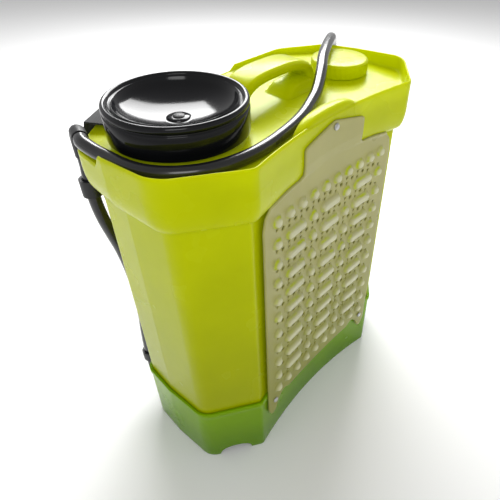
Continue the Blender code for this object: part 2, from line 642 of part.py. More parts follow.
def make_panel():
    face = PANEL_FACE
    plate = on_panel(rounded_box_outline(PANEL_WIDTH, PANEL_HEIGHT, 6), BACK + GAP, face, PANEL_X, PANEL_Z)
    plate = solid("control_panel", plate, BLACK_PLASTIC)
    holes = on_panel(rounded_box_outline(14, 22, 1, 1), BACK - 2, face + 2, SWITCH_X, PANEL_Z)
    rod(3.6, (KNOB_X, BACK - 2, KNOB_Z), (KNOB_X, face + 2, KNOB_Z), 16, holes)
    rod(6.4, (SOCKET_X, BACK - 2, PANEL_Z), (SOCKET_X, face + 2, PANEL_Z), 20, holes)
    on_panel(rounded_box_outline(30, 10, 2, 1), face - 1.6, face + 2, KNOB_X, PANEL_Z + 19, holes)
    combine(plate, holes)
    lugs = box((SOCKET_X - 6.5, face - 1, PANEL_Z + 10.5), (SOCKET_X - 4.3, face + 5.4, PANEL_Z + 15))
    box((SOCKET_X + 4.3, face - 1, PANEL_Z + 10.5), (SOCKET_X + 6.5, face + 5.4, PANEL_Z + 15), lugs)
    combine(plate, lugs, "UNION")
    lens = on_panel(rounded_box_outline(29.2, 9.2, 1.7, 1), face - 1.3, face + 0.4, KNOB_X, PANEL_Z + 19)
    solid("charge_meter", lens, LENS_PLASTIC)
    housing = on_panel(rounded_box_outline(17, 25, 2, 1), face + GAP, face + GAP + 2, SWITCH_X, PANEL_Z)
    housing = solid("switch_housing", housing, BLACK_PLASTIC)
    combine(housing, on_panel(rounded_box_outline(13.4, 21.4, 1, 1), BACK - 14, face + 1, SWITCH_X, PANEL_Z),
            "UNION")
    combine(housing, on_panel(rounded_box_outline(11, 18, 0.8, 1), face - 7, face + 5, SWITCH_X, PANEL_Z))
    rocker = bmesh.new()
    profile = [(face + 3.6, -8.0), (face + 2.6, 0), (face + 3.6, 8.0), (face + 1.2, 8.1),
               (face - 2.5, 5.5), (face - 4.0, 0), (face - 2.5, -5.5), (face + 1.2, -8.1)]
    loft([[(SWITCH_X + side * 5.1, y, PANEL_Z + z) for y, z in profile] for side in (-1, 1)], rocker)
    hang_on(solid("rocker", rocker, RED_PLASTIC), (SWITCH_X, face - 1, PANEL_Z))

    knob = [(0, face + 15), (9.5, face + 15), (11, face + 13.8), (12.5, face + 2), (12, face + 0.8),
            (3.2, face + 0.8), (3.2, BACK - 16), (0, BACK - 16)]
    knob = solid("pressure_knob", turned(knob, (KNOB_X, 0, KNOB_Z), "Y", 24), BLACK_PLASTIC)
    grooves = bmesh.new()
    for i in range(12):
        angle = 2 * math.pi * (i + 0.5) / 12
        spot = (KNOB_X + 13.3 * math.cos(angle), KNOB_Z + 13.3 * math.sin(angle))
        rod(1.7, (spot[0], face + 3.5, spot[1]), (spot[0], face + 20, spot[1]), 8, grooves)
    combine(knob, grooves)
    combine(knob, box((KNOB_X - 0.8, face + 14.2, KNOB_Z + 2), (KNOB_X + 0.8, face + 18, KNOB_Z + 14)))
    hang_on(knob, (KNOB_X, face, KNOB_Z))

    controller = solid("speed_controller", box((PANEL_X - 46, BACK - 26, PANEL_Z - 17),
                                               (PANEL_X + 46, BACK - 15, PANEL_Z + 17)), BLACK_PLASTIC)
    posts = rod(4, (PANEL_X - 20, BACK - 17, PANEL_Z - 12), (PANEL_X - 20, BACK, PANEL_Z - 12), 12)
    rod(4, (PANEL_X + 20, BACK - 17, PANEL_Z - 12), (PANEL_X + 20, BACK, PANEL_Z - 12), 12, posts)
    combine(controller, posts, "UNION")
    combine(controller, rod(3.5, (KNOB_X, BACK - 18, KNOB_Z), (KNOB_X, BACK, KNOB_Z), 16))

    socket = turned([(0, face - 8), (3.2, face - 8), (3.2, face + GAP + 2), (8, face + GAP + 2),
                     (8, face + GAP), (6.1, face + GAP), (6.1, BACK - 12), (0, BACK - 12)],
                    (SOCKET_X, 0, PANEL_Z), "Y", 20)
    solid("charge_socket", socket, STEEL)
    low = face + 2 * GAP + 2
    flap = on_panel([(9 * math.cos(a), 9 * math.sin(a)) for a in np.arange(20) * math.pi / 10],
                    low, low + 1.8, SOCKET_X, PANEL_Z)
    flap = solid("socket_cover", flap, SEAL_RUBBER)
    combine(flap, rod(2.7, (SOCKET_X, face + 1.3, PANEL_Z), (SOCKET_X, low + 1, PANEL_Z), 14), "UNION")
    combine(flap, box((SOCKET_X - 4, low, PANEL_Z + 7), (SOCKET_X + 4, low + 1.8, PANEL_Z + 13)), "UNION")
    combine(flap, rod(1.8, (SOCKET_X - 4, low + 0.9, PANEL_Z + 13), (SOCKET_X + 4, low + 0.9, PANEL_Z + 13), 12),
            "UNION")
    hang_on(flap, (SOCKET_X, low + 0.9, PANEL_Z + 13))


# ---------------------------------------------------------------- pump and battery in the base

def make_drive():
    floor = COVER_Z + COVER_THICK + GAP
    width, depth, height = BATTERY
    outline = rounded_box_outline(width, depth, 5, 2)
    battery = loft([[(BATTERY_X + x, BATTERY_Y + y, z) for x, y in outline]
                    for z in (floor, floor + height)])
    solid("battery_pack", battery, BLACK_PLASTIC)
    inner, outer = depth / 2 + GAP, depth / 2 + GAP + 1.5
    top = floor + height + GAP
    bracket = bmesh.new()
    profile = [(-outer - 12, floor), (-outer - 12, floor + 1.5), (-outer, floor + 1.5), (-outer, top + 1.5),
               (outer, top + 1.5), (outer, floor + 1.5), (outer + 12, floor + 1.5), (outer + 12, floor),
               (inner, floor), (inner, top), (-inner, top), (-inner, floor)]
    loft([[(BATTERY_X + side * 10, BATTERY_Y + y, z) for y, z in profile] for side in (-1, 1)], bracket)
    solid("battery_bracket", bracket, STEEL)

    motor_end = PUMP_X - 19
    motor = turned([(0, motor_end - 62), (MOTOR_RADIUS - 1.5, motor_end - 62),
                    (MOTOR_RADIUS, motor_end - 60.5), (MOTOR_RADIUS, motor_end - GAP), (0, motor_end - GAP)],
                   (0, PUMP_Y, PUMP_Z), "X", 24)
    solid("pump_motor", motor, STEEL)
    head = box((motor_end, PUMP_Y - 21, floor), (motor_end + 37, PUMP_Y + 21, PUMP_Z + 21))
    head = solid("pump_head", head, BLACK_PLASTIC)
    stubs = rod(7, (PUMP_X, PUMP_Y, PUMP_Z + 20), (PUMP_X, PUMP_Y, TANK_BOTTOM - 19))
    rod(4.5, (PUMP_X + 6, PUMP_Y + 20, PUMP_Z - 5), (PUMP_X + 6, PUMP_Y + 32, PUMP_Z - 5), 14, stubs)
    combine(head, stubs, "UNION")
    sleeve = [(8.3, TANK_BOTTOM - 28), (9.0, TANK_BOTTOM - 28), (9.0, TANK_BOTTOM - 8), (8.3, TANK_BOTTOM - 8)]
    solid("suction_sleeve", turned(sleeve, (PUMP_X, PUMP_Y, 0), steps=20), SEAL_RUBBER)

    cord("delivery_hose",
         [(PUMP_X + 6, PUMP_Y + 33.4, 40), (PUMP_X + 6, PUMP_Y + 42, 40), (-81, 46, 43), (-90, 55, 47),
          (-104, 56, 51), (-117, 50, 55), (-128, 44, 58.5), (-138, 42, 61),
          on_chamfer(10, -26, OUTLET_Z), on_chamfer(10, -16.2, OUTLET_Z)],
         9.0, HOSE_RUBBER)


def make_outlet():
    """The outlet elbow on the back left chamfer, with its lock nut and the riser's union nut."""
    level = OUTLET_Z
    body = rod(7, on_chamfer(10, -15, level), on_chamfer(10, 14, level), 20)
    body = solid("outlet_fitting", body, BLACK_PLASTIC)
    foot = on_chamfer(10, 14, level)
    combine(body, rod(7, foot - Vector((0, 0, 8)), foot + Vector((0, 0, 25)), 20), "UNION")
    combine(body, rod(12, on_chamfer(10, GAP, level), on_chamfer(10, 3, level), 20), "UNION")
    lock = rod(11.5, on_chamfer(10, -BASE_WALL - GAP, level), on_chamfer(10, -BASE_WALL - 5, level), 6)
    lock = solid("outlet_lock_nut", lock, BLACK_PLASTIC)
    combine(lock, rod(7.3, on_chamfer(10, 0, level), on_chamfer(10, -15, level), 20))
    nut = solid("riser_nut", rod(10.5, foot + Vector((0, 0, 14)), foot + Vector((0, 0, 31)), 12), BLACK_PLASTIC)
    combine(nut, rod(7.35, foot + Vector((0, 0, 10)), foot + Vector((0, 0, 35)), 20))


# ---------------------------------------------------------------- hoses and what holds them

ELBOW_FOOT = Vector((-181.0, 77.0, 426.0))
ELBOW_AHEAD = Vector((-0.37, -0.93, 0)).normalized()
RISER_FOOT = on_chamfer(10, 14, OUTLET_Z + 25.6)
RISER = [RISER_FOOT, RISER_FOOT + Vector((0, 0, 12)), (-163.5, 84.6, 130), (-159.5, 86, 170),
         (-158.6, 86.4, 212), (-160.8, 85.6, 250), (-166.0, 83.2, 286), (-172.8, 80.8, 316),
         (-179.0, 78.6, 343), (-182.3, 77.8, 370), (-182.3, 77.4, 395), (-181, 77, 415), (-181, 77, 425.6)]
SPRAY_START = ELBOW_FOOT + ELBOW_AHEAD * 28.9 + Vector((0, 0, 31.5))
SPRAY_HOSE = [SPRAY_START, SPRAY_START + ELBOW_AHEAD * 7, (-195.0, 34, 456.8), (-194.8, 18, 455.6),
              (-194.0, 2, 455.4), (-193.6, -14, 455.4), (-191.2, -30, 455.4), (-186, -44, 455.4),
              (-178, -56.5, 455.4), (-166, -68.5, 455.4), (-150, -79, 455.4), (-130, -86, 455.4),
              (-106, -89.5, 455.4), (-82, -88.5, 455.4), (-56, -84.5, 455.4), (-30, -79, 455.6),
              (-6, -72, 456.4), (18, -62.5, 458), (40, -53, 460.5), (62, -41, 465), (84, -27.5, 470.5),
              (106, -12.5, 474.2), (128, 0.5, 475.6), (150, 13, 475.6), (171, 24.5, 474.4),
              (190, 35.5, 471), (206, 45.5, 464), (219, 53.5, 452), (227.5, 59.5, 436),
              (232, 64, 414), (234, 69, 385), (234, 75, 350), (233, 82, 310), (229, 90, 272),
              (219, 97, 235), (203, 103, 200), (180, 108, 172), (150, 110, 155), (118, 110, 151),
              (90, 109.5, 162), (72, 109, 182), (66, 109, 204), (66, 109, 219.2)]


def make_hoses():
    cord("riser_hose", RISER, HOSE_DIAMETER, HOSE_RUBBER)
    cord("spray_hose", SPRAY_HOSE, HOSE_DIAMETER, HOSE_RUBBER, 1.9)
    foot, ahead = ELBOW_FOOT, ELBOW_AHEAD
    bend = 16.0
    path = [foot, foot + Vector((0, 0, 8))]
    top = foot.z + 31.5
    for angle in np.linspace(0, math.pi / 2, 7):
        path.append(Vector((foot.x, foot.y, top - bend + bend * math.sin(angle)))
                    + ahead * bend * (1 - math.cos(angle)))
    path.append(Vector((foot.x, foot.y, top)) + ahead * 26.6)
    round_section = [(ELBOW_RADIUS * math.cos(a), ELBOW_RADIUS * math.sin(a))
                     for a in np.arange(16) * math.pi / 8]
    elbow = sweep(path, round_section, ahead.cross(Vector((0, 0, 1))))
    solid("rim_elbow", elbow, BLACK_PLASTIC)

    level, height = 380.0, 20.0
    middle = Vector((-182.3, 77.7, 0))
    out = CHAMFER_OUT
    clip = rod(10.8, middle + Vector((0, 0, level)), middle + Vector((0, 0, level + height)), 20)
    clip = solid("riser_clip", clip, BLACK_PLASTIC)
    reach = (middle - CHAMFER_START).dot(out) + TANK_IN
    along = CHAMFER_ALONG
    arm = bmesh.new()
    wall = middle - out * (reach - GAP - 0.2)
    corners = [wall + along * 9, wall + along * 9 + out * 3, wall + along * 3 + out * 3,
               middle + along * 3 - out * 5, middle - along * 3 - out * 5, wall - along * 3 + out * 3,
               wall - along * 9 + out * 3, wall - along * 9]
    prism([(c.x, c.y) for c in corners], level + 1, level + height - 1, arm)
    combine(clip, arm, "UNION")
    combine(clip, rod(7.6, middle + Vector((0, 0, level - 5)), middle + Vector((0, 0, level + height + 5)), 20))


# ---------------------------------------------------------------- back pad

def pad_face(x):
    """The pad's front face between its bumps."""
    return -PAD_FRONT + PAD_SAG * (1 - (x / 109) ** 2)


def pad_place(x, z):
    """The pad lies on its own gentle curve until the collar pushes it out."""
    step_out = np.interp(z, [COLLAR_Z - 3, COLLAR_Z + 3, COLLAR_Z + 12, COLLAR_Z + 24],
                         [-TANK_IN, COLLAR_OUT - 5, COLLAR_OUT - 1, COLLAR_OUT])
    return min(pad_face(x), front_face(x, step_out) - GAP - 0.5 - PAD_THICK)


def pad_bumps():
    """(x, row, half length) of every bump; a longer one takes the place of two round ones."""
    spots = []
    for row in range(PAD_ROWS):
        column = 0
        while column < PAD_COLUMNS:
            bar = 0 < row < PAD_ROWS - 1 and column % 3 == 1 and column + 1 < PAD_COLUMNS
            x = (column - (PAD_COLUMNS - 1) / 2 + (0.5 if bar else 0)) * PAD_PITCH_X
            spots.append((x, row, PAD_PITCH_X / 2 if bar else 0.0))
            column += 2 if bar else 1
    return spots


def make_pad():
    half = PAD_PITCH_X * (PAD_COLUMNS - 1) / 2 + 21
    top = PAD_TOP_ROW_Z + 30
    low = PAD_BOTTOM_ROW_Z - 26
    leg = PAD_BOTTOM_ROW_Z - 50
    right = [(0, 459), (52, 447), (52, top + 2), (58, top - 2), (80, top - 3), (half - 14, top - 7),
             (half - 4, top - 17), (half, top - 32), (half, leg + 14), (half - 5, leg + 2), (half - 10, leg),
             (half - 15, leg + 4), (half - 22, leg + 20), (half - 34, low + 9), (half - 46, low)]
    outline = right + [(-x, z) for x, z in reversed(right) if x]
    outline.append((0, low))
    outline = outline[:-1]
    bm = bmesh.new()
    loft([[(x, depth, z) for x, z in outline] for depth in (0.0, PAD_THICK)], bm)
    plate = solid("back_pad", bm, PAD_PLASTIC)
    bumps = bmesh.new()
    steps = 8
    for x, row, reach in pad_bumps():
        z = PAD_TOP_ROW_Z - row * PAD_PITCH_Z
        rings = []
        for radius, out in ((7.4, -1.2), (7.2, 0.2), (4.6, 1.0)):
            circle = [(radius * math.cos(a), radius * math.sin(a))
                      for a in (np.arange(steps) + 0.5) * 2 * math.pi / steps]
            rings.append([(x + a + math.copysign(reach, a), -out * PAD_BUMP if out > 0 else -out, z + b)
                          for a, b in circle])
        loft(rings, bumps)
    combine(plate, bumps, "UNION")
    holes = bmesh.new()
    for row in range(PAD_ROWS - 1):
        for column in range(PAD_COLUMNS - 1):
            x = (column - (PAD_COLUMNS - 2) / 2) * PAD_PITCH_X
            z = PAD_TOP_ROW_Z - (row + 0.5) * PAD_PITCH_Z
            if (row + column) % 2:
                continue
            rod(2.4, (x, -4, z), (x, PAD_THICK + 4, z), 6, holes)
    for x, z in pad_screw_spots():
        rod(2.2, (x, -4, z), (x, PAD_THICK + 4, z), 10, holes)
    combine(plate, holes)
    curl(plate)
    return plate


def curl(plate):
    """Cuts the flat plate into upright strips and lays them on the wearer side's gentle hollow."""
    graph = bpy.context.evaluated_depsgraph_get()
    flat = bmesh.new()
    flat.from_object(plate, graph)
    for x in np.linspace(-98, 98, 9) + 0.37:
        parts = list(flat.verts) + list(flat.edges) + list(flat.faces)
        bmesh.ops.bisect_plane(flat, geom=parts, plane_co=(x * MM, 0, 0), plane_no=(1, 0, 0), dist=1e-7)
    for height in (COLLAR_Z - 3, COLLAR_Z + 3, COLLAR_Z + 12, COLLAR_Z + 24):
        parts = list(flat.verts) + list(flat.edges) + list(flat.faces)
        bmesh.ops.bisect_plane(flat, geom=parts, plane_co=(0, 0, height * MM), plane_no=(0, 0, 1), dist=1e-7)
    bmesh.ops.triangulate(flat, faces=flat.faces)
    for vert in flat.verts:
        vert.co.y += pad_place(vert.co.x / MM, vert.co.z / MM) * MM
    tools = [change.object for change in plate.modifiers]
    plate.modifiers.clear()
    for tool in tools:
        bpy.data.objects.remove(tool, do_unlink=True)
    flat.to_mesh(plate.data)
    flat.free()


def pad_screw_spots():
    return [(0.0, PAD_SCREW_Z), (-105.0, 83.0), (105.0, 83.0)]


def make_pad_screws():
    names = ("pad_screw_top", "pad_screw_left", "pad_screw_right")
    for name, (x, z) in zip(names, pad_screw_spots()):
        face = 0.2 - pad_place(x + math.copysign(4.2, x), z) + GAP
        length = 11 if z > COLLAR_Z else 14
        screw = [(0, face + 2.2), (2.4, face + 2.2), (3.8, face + 1.2), (4.2, face), (1.6, face),
                 (1.6, face - length), (0, face - length - 1.5)]
        screw = turned([(r, -h) for r, h in screw], (x, 0, z), "Y", 12)
        solid(name, screw, STEEL)


# ---------------------------------------------------------------- spray gun

def make_gun():
    x, y = GUN_X, GUN_Y
    stations = [(GUN_BOTTOM, 0.72, 0.72, 0), (GUN_BOTTOM + 8, 0.95, 0.95, 0), (GUN_BOTTOM + 40, 1, 1, 0),
                (GUN_BOTTOM + 80, 0.94, 1, 0), (GUN_BOTTOM + 115, 1, 1, 0), (GUN_BOTTOM + 130, 1.1, 1, 0),
                (GUN_TOP - 12, 1.1, 1, 0), (GUN_TOP, 0.75, 0.8, 0)]
    rings = []
    for z, sx, sy, shift in stations:
        outline = rounded_box_outline(2 * GUN_HALF_X * sx, 2 * GUN_HALF_Y * sy, 8, 3)
        rings.append([(x + shift + a, y + b, z) for a, b in outline])
    gun = solid("gun_body", loft(rings), BLACK_PLASTIC)
    pivot = (x - 1.1 * GUN_HALF_X - 5, GUN_TOP - 12)
    ears = box((pivot[0] - 5, y - 10.5, pivot[1] - 6), (x - 8, y - 7, pivot[1] + 6))
    box((pivot[0] - 5, y + 7, pivot[1] - 6), (x - 8, y + 10.5, pivot[1] + 6), ears)
    combine(gun, ears, "UNION")
    stem_z = pivot[1] - 17
    bores = rod(1.9, (pivot[0], y - 15, pivot[1]), (pivot[0], y + 15, pivot[1]), 12)
    rod(2.4, (x - 30, y, stem_z), (x - 2, y, stem_z), 14, bores)
    combine(gun, bores)
    nipple = rod(6.5, (x, y, GUN_TOP - 2), (x, y, GUN_TOP + 10), 16)
    rod(6.5, (x, y, GUN_BOTTOM - 14), (x, y, GUN_BOTTOM + 2), 16, nipple)
    combine(gun, nipple, "UNION")

    for name, low, high in (("gun_outlet_nut", GUN_TOP + GAP, GUN_TOP + 13),
                            ("gun_inlet_nut", GUN_BOTTOM - 16, GUN_BOTTOM - GAP)):
        nut = solid(name, rod(10, (x, y, low), (x, y, high), 12), BLACK_PLASTIC)
        combine(nut, rod(6.85, (x, y, low - 3), (x, y, high + 3), 16))

    solid("trigger_pin", rod(1.6, (pivot[0], y - 11.5, pivot[1]), (pivot[0], y + 11.5, pivot[1]), 12), STEEL)
    inner = x - GUN_HALF_X * 1.1 - 2.2
    profile = [(pivot[0] - 4.2, pivot[1] + 2), (pivot[0], pivot[1] + 4.4), (pivot[0] + 4.2, pivot[1] + 2),
               (pivot[0] + 4.2, pivot[1] - 6), (inner, pivot[1] - 12), (inner, pivot[1] - 30),
               (inner - 8, pivot[1] - 66), (inner - 16, pivot[1] - 104), (inner - 18.6, pivot[1] - 103.4),
               (inner - 12, pivot[1] - 66), (inner - 5, pivot[1] - 34)]
    trigger = loft([[(a, y + side * 6.5, b) for a, b in profile] for side in (-1, 1)])
    trigger = solid("gun_trigger", trigger, BLACK_PLASTIC)
    combine(trigger, rod(1.95, (pivot[0], y - 15, pivot[1]), (pivot[0], y + 15, pivot[1]), 12))
    hang_on(trigger, (pivot[0], y, pivot[1]))
    stem = solid("valve_stem", rod(2.1, (inner + GAP, y, stem_z), (x - 6, y, stem_z), 12), BRASS)
    hang_on(stem, (inner, y, stem_z))

    lock_z = GUN_BOTTOM + 34
    catch = box((x - GUN_HALF_X - 4.0, y - 4, lock_z - 9), (x - GUN_HALF_X - GAP, y + 4, lock_z + 9))
    hang_on(solid("trigger_lock", catch, RED_PLASTIC), (x - GUN_HALF_X, y, lock_z))

    level = GUN_BOTTOM + 84
    wall = BACK - TANK_IN + GAP
    clip = box((x - 24, wall, level - 24), (x + 24, wall + 3, level + 24))
    clip = solid("gun_clip", clip, BLACK_PLASTIC)
    jaws = bmesh.new()
    for side in (-1, 1):
        inside, outside = GUN_HALF_X + 0.5, GUN_HALF_X + 3.5
        points = [(inside, wall + 2), (outside, wall + 2), (outside, y + 8), (inside + 1, y + 12),
                  (inside - 2.5, y + 10.8), (inside, y + 7)]
        points = [(x + side * a, b) for a, b in points]
        prism(points if side > 0 else points[::-1], level - 10, level + 10, jaws)
    combine(clip, jaws, "UNION")


# ---------------------------------------------------------------- straps

def strap(name, route, sides, width, thick=STRAP_THICK):
    """Webbing along a route; its width turns from the first side direction to the second."""
    path = smooth_path(route, 14)
    rings = []
    for i, spot in enumerate(path):
        spot = Vector(spot)
        ahead = Vector(path[min(i + 1, len(path) - 1)]) - Vector(path[max(i - 1, 0)])
        side = sides[0].lerp(sides[1], min(1.0, i / (len(path) - 3))).normalized()
        normal = ahead.normalized().cross(side).normalized()
        rings.append([spot + a * side + b * normal
                      for a, b in ((-width / 2, -thick / 2), (width / 2, -thick / 2),
                                   (width / 2, thick / 2), (-width / 2, thick / 2))])
    return solid(name, loft(rings), WEBBING)


def slider(name, spot, side, along):
    """A ladder buckle that both lengths of webbing run into."""
    side, along = Vector(side).normalized(), Vector(along).normalized()
    out = side.cross(along)
    half_wide, half_tall, half_deep = STRAP_WIDTH / 2 + 4, 14, 5.0
    outline = rounded_box_outline(2 * half_wide, 2 * half_tall, 4, 2)
    rings = [[Vector(spot) + depth * out + a * side + b * along for a, b in outline]
             for depth in (-half_deep, half_deep)]
    buckle = solid(name, loft(rings), BLACK_PLASTIC)
    windows = bmesh.new()
    for depth, width, low, high in ((2, STRAP_WIDTH, -3, half_tall + 3), (-2, TAIL_WIDTH, -half_tall - 3, 3)):
        section = rounded_box_outline(width + 2, STRAP_THICK + 0.8, 0.5, 1)
        loft([[Vector(spot) + a * side + (b + depth) * out + reach * along for a, b in section]
              for reach in (low, high)], windows)
    combine(buckle, windows)
    return buckle


def make_straps():
    along = 24.0
    for mirror, label in ((False, "left"), (True, "right")):
        sign = 1 if mirror else -1
        side = Vector((CHAMFER_ALONG.x, -CHAMFER_ALONG.y if mirror else CHAMFER_ALONG.y, 0))
        if mirror:
            spots = [(10.6, 397), (11.6, 386), (12.6, 374)]
        else:
            spots = [(-16, 454.4), (-6, 454.5), (2, 456.2), (8, 457.6), (12.5, 455), (14, 446), (13.6, 434),
                     (12.8, 415), (11.5, 397)]
        upper = [on_chamfer(along, n, z, mirror) for n, z in spots]
        upper += [(sign * 145, BACK + 7, 350), (sign * STRAP_BUCKLE_X, BACK + 7, STRAP_BUCKLE_Z + 18)]
        middle = (sign * STRAP_BUCKLE_X, BACK + 7, STRAP_BUCKLE_Z)
        strap(f"strap_{label}", upper + [middle], (side, Vector((1, 0, 0))), STRAP_WIDTH)
        lower = [(sign * STRAP_BUCKLE_X, BACK + 11, STRAP_BUCKLE_Z),
                 (sign * STRAP_BUCKLE_X, BACK + 11, STRAP_BUCKLE_Z - 20),
                 (sign * (STRAP_BUCKLE_X - 3), BACK + 11, 260), (sign * 127, BACK + 11, 220),
                 (sign * 119, BACK + 10.5, 170), (sign * 114, BACK + 9.5, 125),
                 (sign * 112, BACK + 8.3, 100), (sign * 112, BACK + 8.3, 84)]
        strap(f"strap_tail_{label}", lower, (Vector((1, 0, 0)), Vector((1, 0, 0))), TAIL_WIDTH)
        slider(f"strap_slider_{label}", (sign * STRAP_BUCKLE_X, BACK + 9, STRAP_BUCKLE_Z), (1, 0, 0), (0, 0, 1))
        anchor(f"strap_anchor_{label}", Vector((sign * 112, BACK, 78)), Vector((1, 0, 0)), Vector((0, 1, 0)))
    top = on_chamfer(along, -16, DECK_Z)
    plate = [[top + a * CHAMFER_ALONG + b * CHAMFER_OUT + Vector((0, 0, h))
              for a, b in rounded_box_outline(STRAP_WIDTH + 6, 12, 3, 2)] for h in (GAP, 5.0)]
    solid("strap_plate_left", loft(plate), BLACK_PLASTIC)
    out = Vector((-CHAMFER_OUT.x, CHAMFER_OUT.y, 0))
    side = Vector((-CHAMFER_ALONG.x, CHAMFER_ALONG.y, 0))
    place = on_chamfer(along, -TANK_IN, 387, True)
    plate = [[place + a * side + h * out + Vector((0, 0, b))
              for a, b in rounded_box_outline(STRAP_WIDTH + 6, 20, 3, 2)] for h in (GAP, 9.5)]
    solid("strap_plate_right", loft(plate), BLACK_PLASTIC)


def anchor(name, spot, side, out):
    """A bracket on the base that takes the strap's lower end."""
    rings = [[spot + a * side + h * out + Vector((0, 0, b))
              for a, b in rounded_box_outline(TAIL_WIDTH + 8, 30, 4, 2)] for h in (GAP, 11)]
    piece = solid(name, loft(rings), BLACK_PLASTIC)
    slot = [[spot + a * side + b * out + Vector((0, 0, z))
             for a, b in rounded_box_outline(TAIL_WIDTH + 1, STRAP_THICK + 1, 0.5, 1)] for z in (5, 20)]
    slot = [[point + out * 8.3 for point in ring_points] for ring_points in slot]
    combine(piece, loft(slot))
    return piece


make_tank()
make_filler()
make_port_cap()
make_base()
make_cover()
make_panel()
make_drive()
make_outlet()
make_hoses()
make_pad()
make_pad_screws()
make_gun()
make_straps()
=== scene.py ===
# Backpack sprayer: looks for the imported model. All lengths in metres.
import json
import math

import bmesh
import bpy
import numpy as np
from mathutils import Matrix, Vector

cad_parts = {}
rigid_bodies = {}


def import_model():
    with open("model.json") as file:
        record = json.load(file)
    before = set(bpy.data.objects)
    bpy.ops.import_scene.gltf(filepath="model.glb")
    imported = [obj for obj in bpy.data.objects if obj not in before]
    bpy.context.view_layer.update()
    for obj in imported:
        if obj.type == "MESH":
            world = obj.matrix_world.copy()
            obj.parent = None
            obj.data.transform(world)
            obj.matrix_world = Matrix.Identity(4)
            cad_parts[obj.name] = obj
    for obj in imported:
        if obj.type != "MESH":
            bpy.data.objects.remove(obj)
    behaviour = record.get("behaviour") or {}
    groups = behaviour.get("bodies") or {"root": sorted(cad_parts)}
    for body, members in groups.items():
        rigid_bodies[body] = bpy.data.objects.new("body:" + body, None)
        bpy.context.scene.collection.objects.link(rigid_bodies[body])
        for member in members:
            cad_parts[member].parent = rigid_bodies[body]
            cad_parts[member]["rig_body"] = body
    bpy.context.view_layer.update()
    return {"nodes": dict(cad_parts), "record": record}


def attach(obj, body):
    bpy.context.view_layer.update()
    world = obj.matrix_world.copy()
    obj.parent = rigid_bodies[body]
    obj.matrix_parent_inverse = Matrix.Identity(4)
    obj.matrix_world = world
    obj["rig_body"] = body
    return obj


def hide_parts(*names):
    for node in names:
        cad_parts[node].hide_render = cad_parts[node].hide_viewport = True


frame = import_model()
mm = 0.001

# the one fixed camera: where it stands, which way it looks, and how far the middle is shifted
cameraSet = {"place": (-0.3899, -0.3682, 0.6718), "azimuth": -51.93, "elevation": 40.54, "roll": 1.51,
             "focal": 480.0, "shiftX": -0.0933, "shiftY": 0.0144}
cameraData = bpy.data.cameras.new("camera")
camera = bpy.data.objects.new("camera", cameraData)
bpy.context.scene.collection.objects.link(camera)
bpy.context.scene.camera = camera
cameraData.sensor_width = 36.0
cameraData.lens = cameraSet["focal"] / 500 * 36.0
cameraData.shift_x = cameraSet["shiftX"]
cameraData.shift_y = cameraSet["shiftY"]
cameraData.clip_start = 0.02
cameraData.clip_end = 20
azimuth, elevation = math.radians(cameraSet["azimuth"]), math.radians(cameraSet["elevation"])
backward = Vector((math.sin(azimuth) * math.cos(elevation), -math.cos(azimuth) * math.cos(elevation),
                   math.sin(elevation)))
camera.rotation_mode = "QUATERNION"
camera.rotation_quaternion = (backward.to_track_quat("Z", "Y")
                              @ Matrix.Rotation(math.radians(cameraSet["roll"]), 3, "Z").to_quaternion())
camera.location = cameraSet["place"]
bpy.context.scene.view_settings.view_transform = "Standard"  # true plastic colours
print("camera placed")


# each shared effect is a node group, made once
def newGroup(name, inputs, outputs):
    group = bpy.data.node_groups.new(name, "ShaderNodeTree")
    for label, kind, value in inputs:
        socket = group.interface.new_socket(label, in_out="INPUT", socket_type=kind)
        if value is not None:
            socket.default_value = value
    for label, kind in outputs:
        group.interface.new_socket(label, in_out="OUTPUT", socket_type=kind)
    return group, group.nodes.new("NodeGroupInput"), group.nodes.new("NodeGroupOutput")


def addNode(tree, kind, values=(), **settings):
    node = tree.nodes.new(kind)
    for key, value in settings.items():
        setattr(node, key, value)
    for key, value in dict(values).items():
        node.inputs[key].default_value = value
    return node


# moulded plastic: slow cloudiness in the colour and a fine skin texture for the height
mouldSkin, skinIn, skinOut = newGroup(
    "mouldSkin",
    [("Colour", "NodeSocketColor", (0.5, 0.5, 0.5, 1)), ("Cloud", "NodeSocketFloat", 0.08),
     ("Roughness", "NodeSocketFloat", 0.3), ("Spread", "NodeSocketFloat", 0.08),
     ("Fine Scale", "NodeSocketFloat", 900.0), ("Wave Scale", "NodeSocketFloat", 35.0),
     ("Wave", "NodeSocketFloat", 0.5)],
    [("Colour", "NodeSocketColor"), ("Roughness", "NodeSocketFloat"), ("Height", "NodeSocketFloat")])
coords = mouldSkin.nodes.new("ShaderNodeTexCoord")
cloud = addNode(mouldSkin, "ShaderNodeTexNoise", {"Scale": 14.0, "Detail": 3.0, "Roughness": 0.55})
fine = addNode(mouldSkin, "ShaderNodeTexNoise", {"Detail": 2.0})
wave = addNode(mouldSkin, "ShaderNodeTexNoise", {"Detail": 1.5})
cloudMap = addNode(mouldSkin, "ShaderNodeMapRange", {"From Min": 0.25, "From Max": 0.75, "To Min": -1.0,
                                                     "To Max": 1.0})
cloudTimes = addNode(mouldSkin, "ShaderNodeMath", operation="MULTIPLY")
cloudPlus = addNode(mouldSkin, "ShaderNodeMath", {1: 1.0}, operation="ADD")
shade = addNode(mouldSkin, "ShaderNodeVectorMath", operation="SCALE")
roughTimes = addNode(mouldSkin, "ShaderNodeMath", operation="MULTIPLY")
roughPlus = addNode(mouldSkin, "ShaderNodeMath", operation="ADD", use_clamp=True)
waveTimes = addNode(mouldSkin, "ShaderNodeMath", operation="MULTIPLY_ADD")
link = mouldSkin.links.new
for texture in (cloud, fine, wave):
    link(coords.outputs["Object"], texture.inputs["Vector"])
link(skinIn.outputs["Fine Scale"], fine.inputs["Scale"])
link(skinIn.outputs["Wave Scale"], wave.inputs["Scale"])
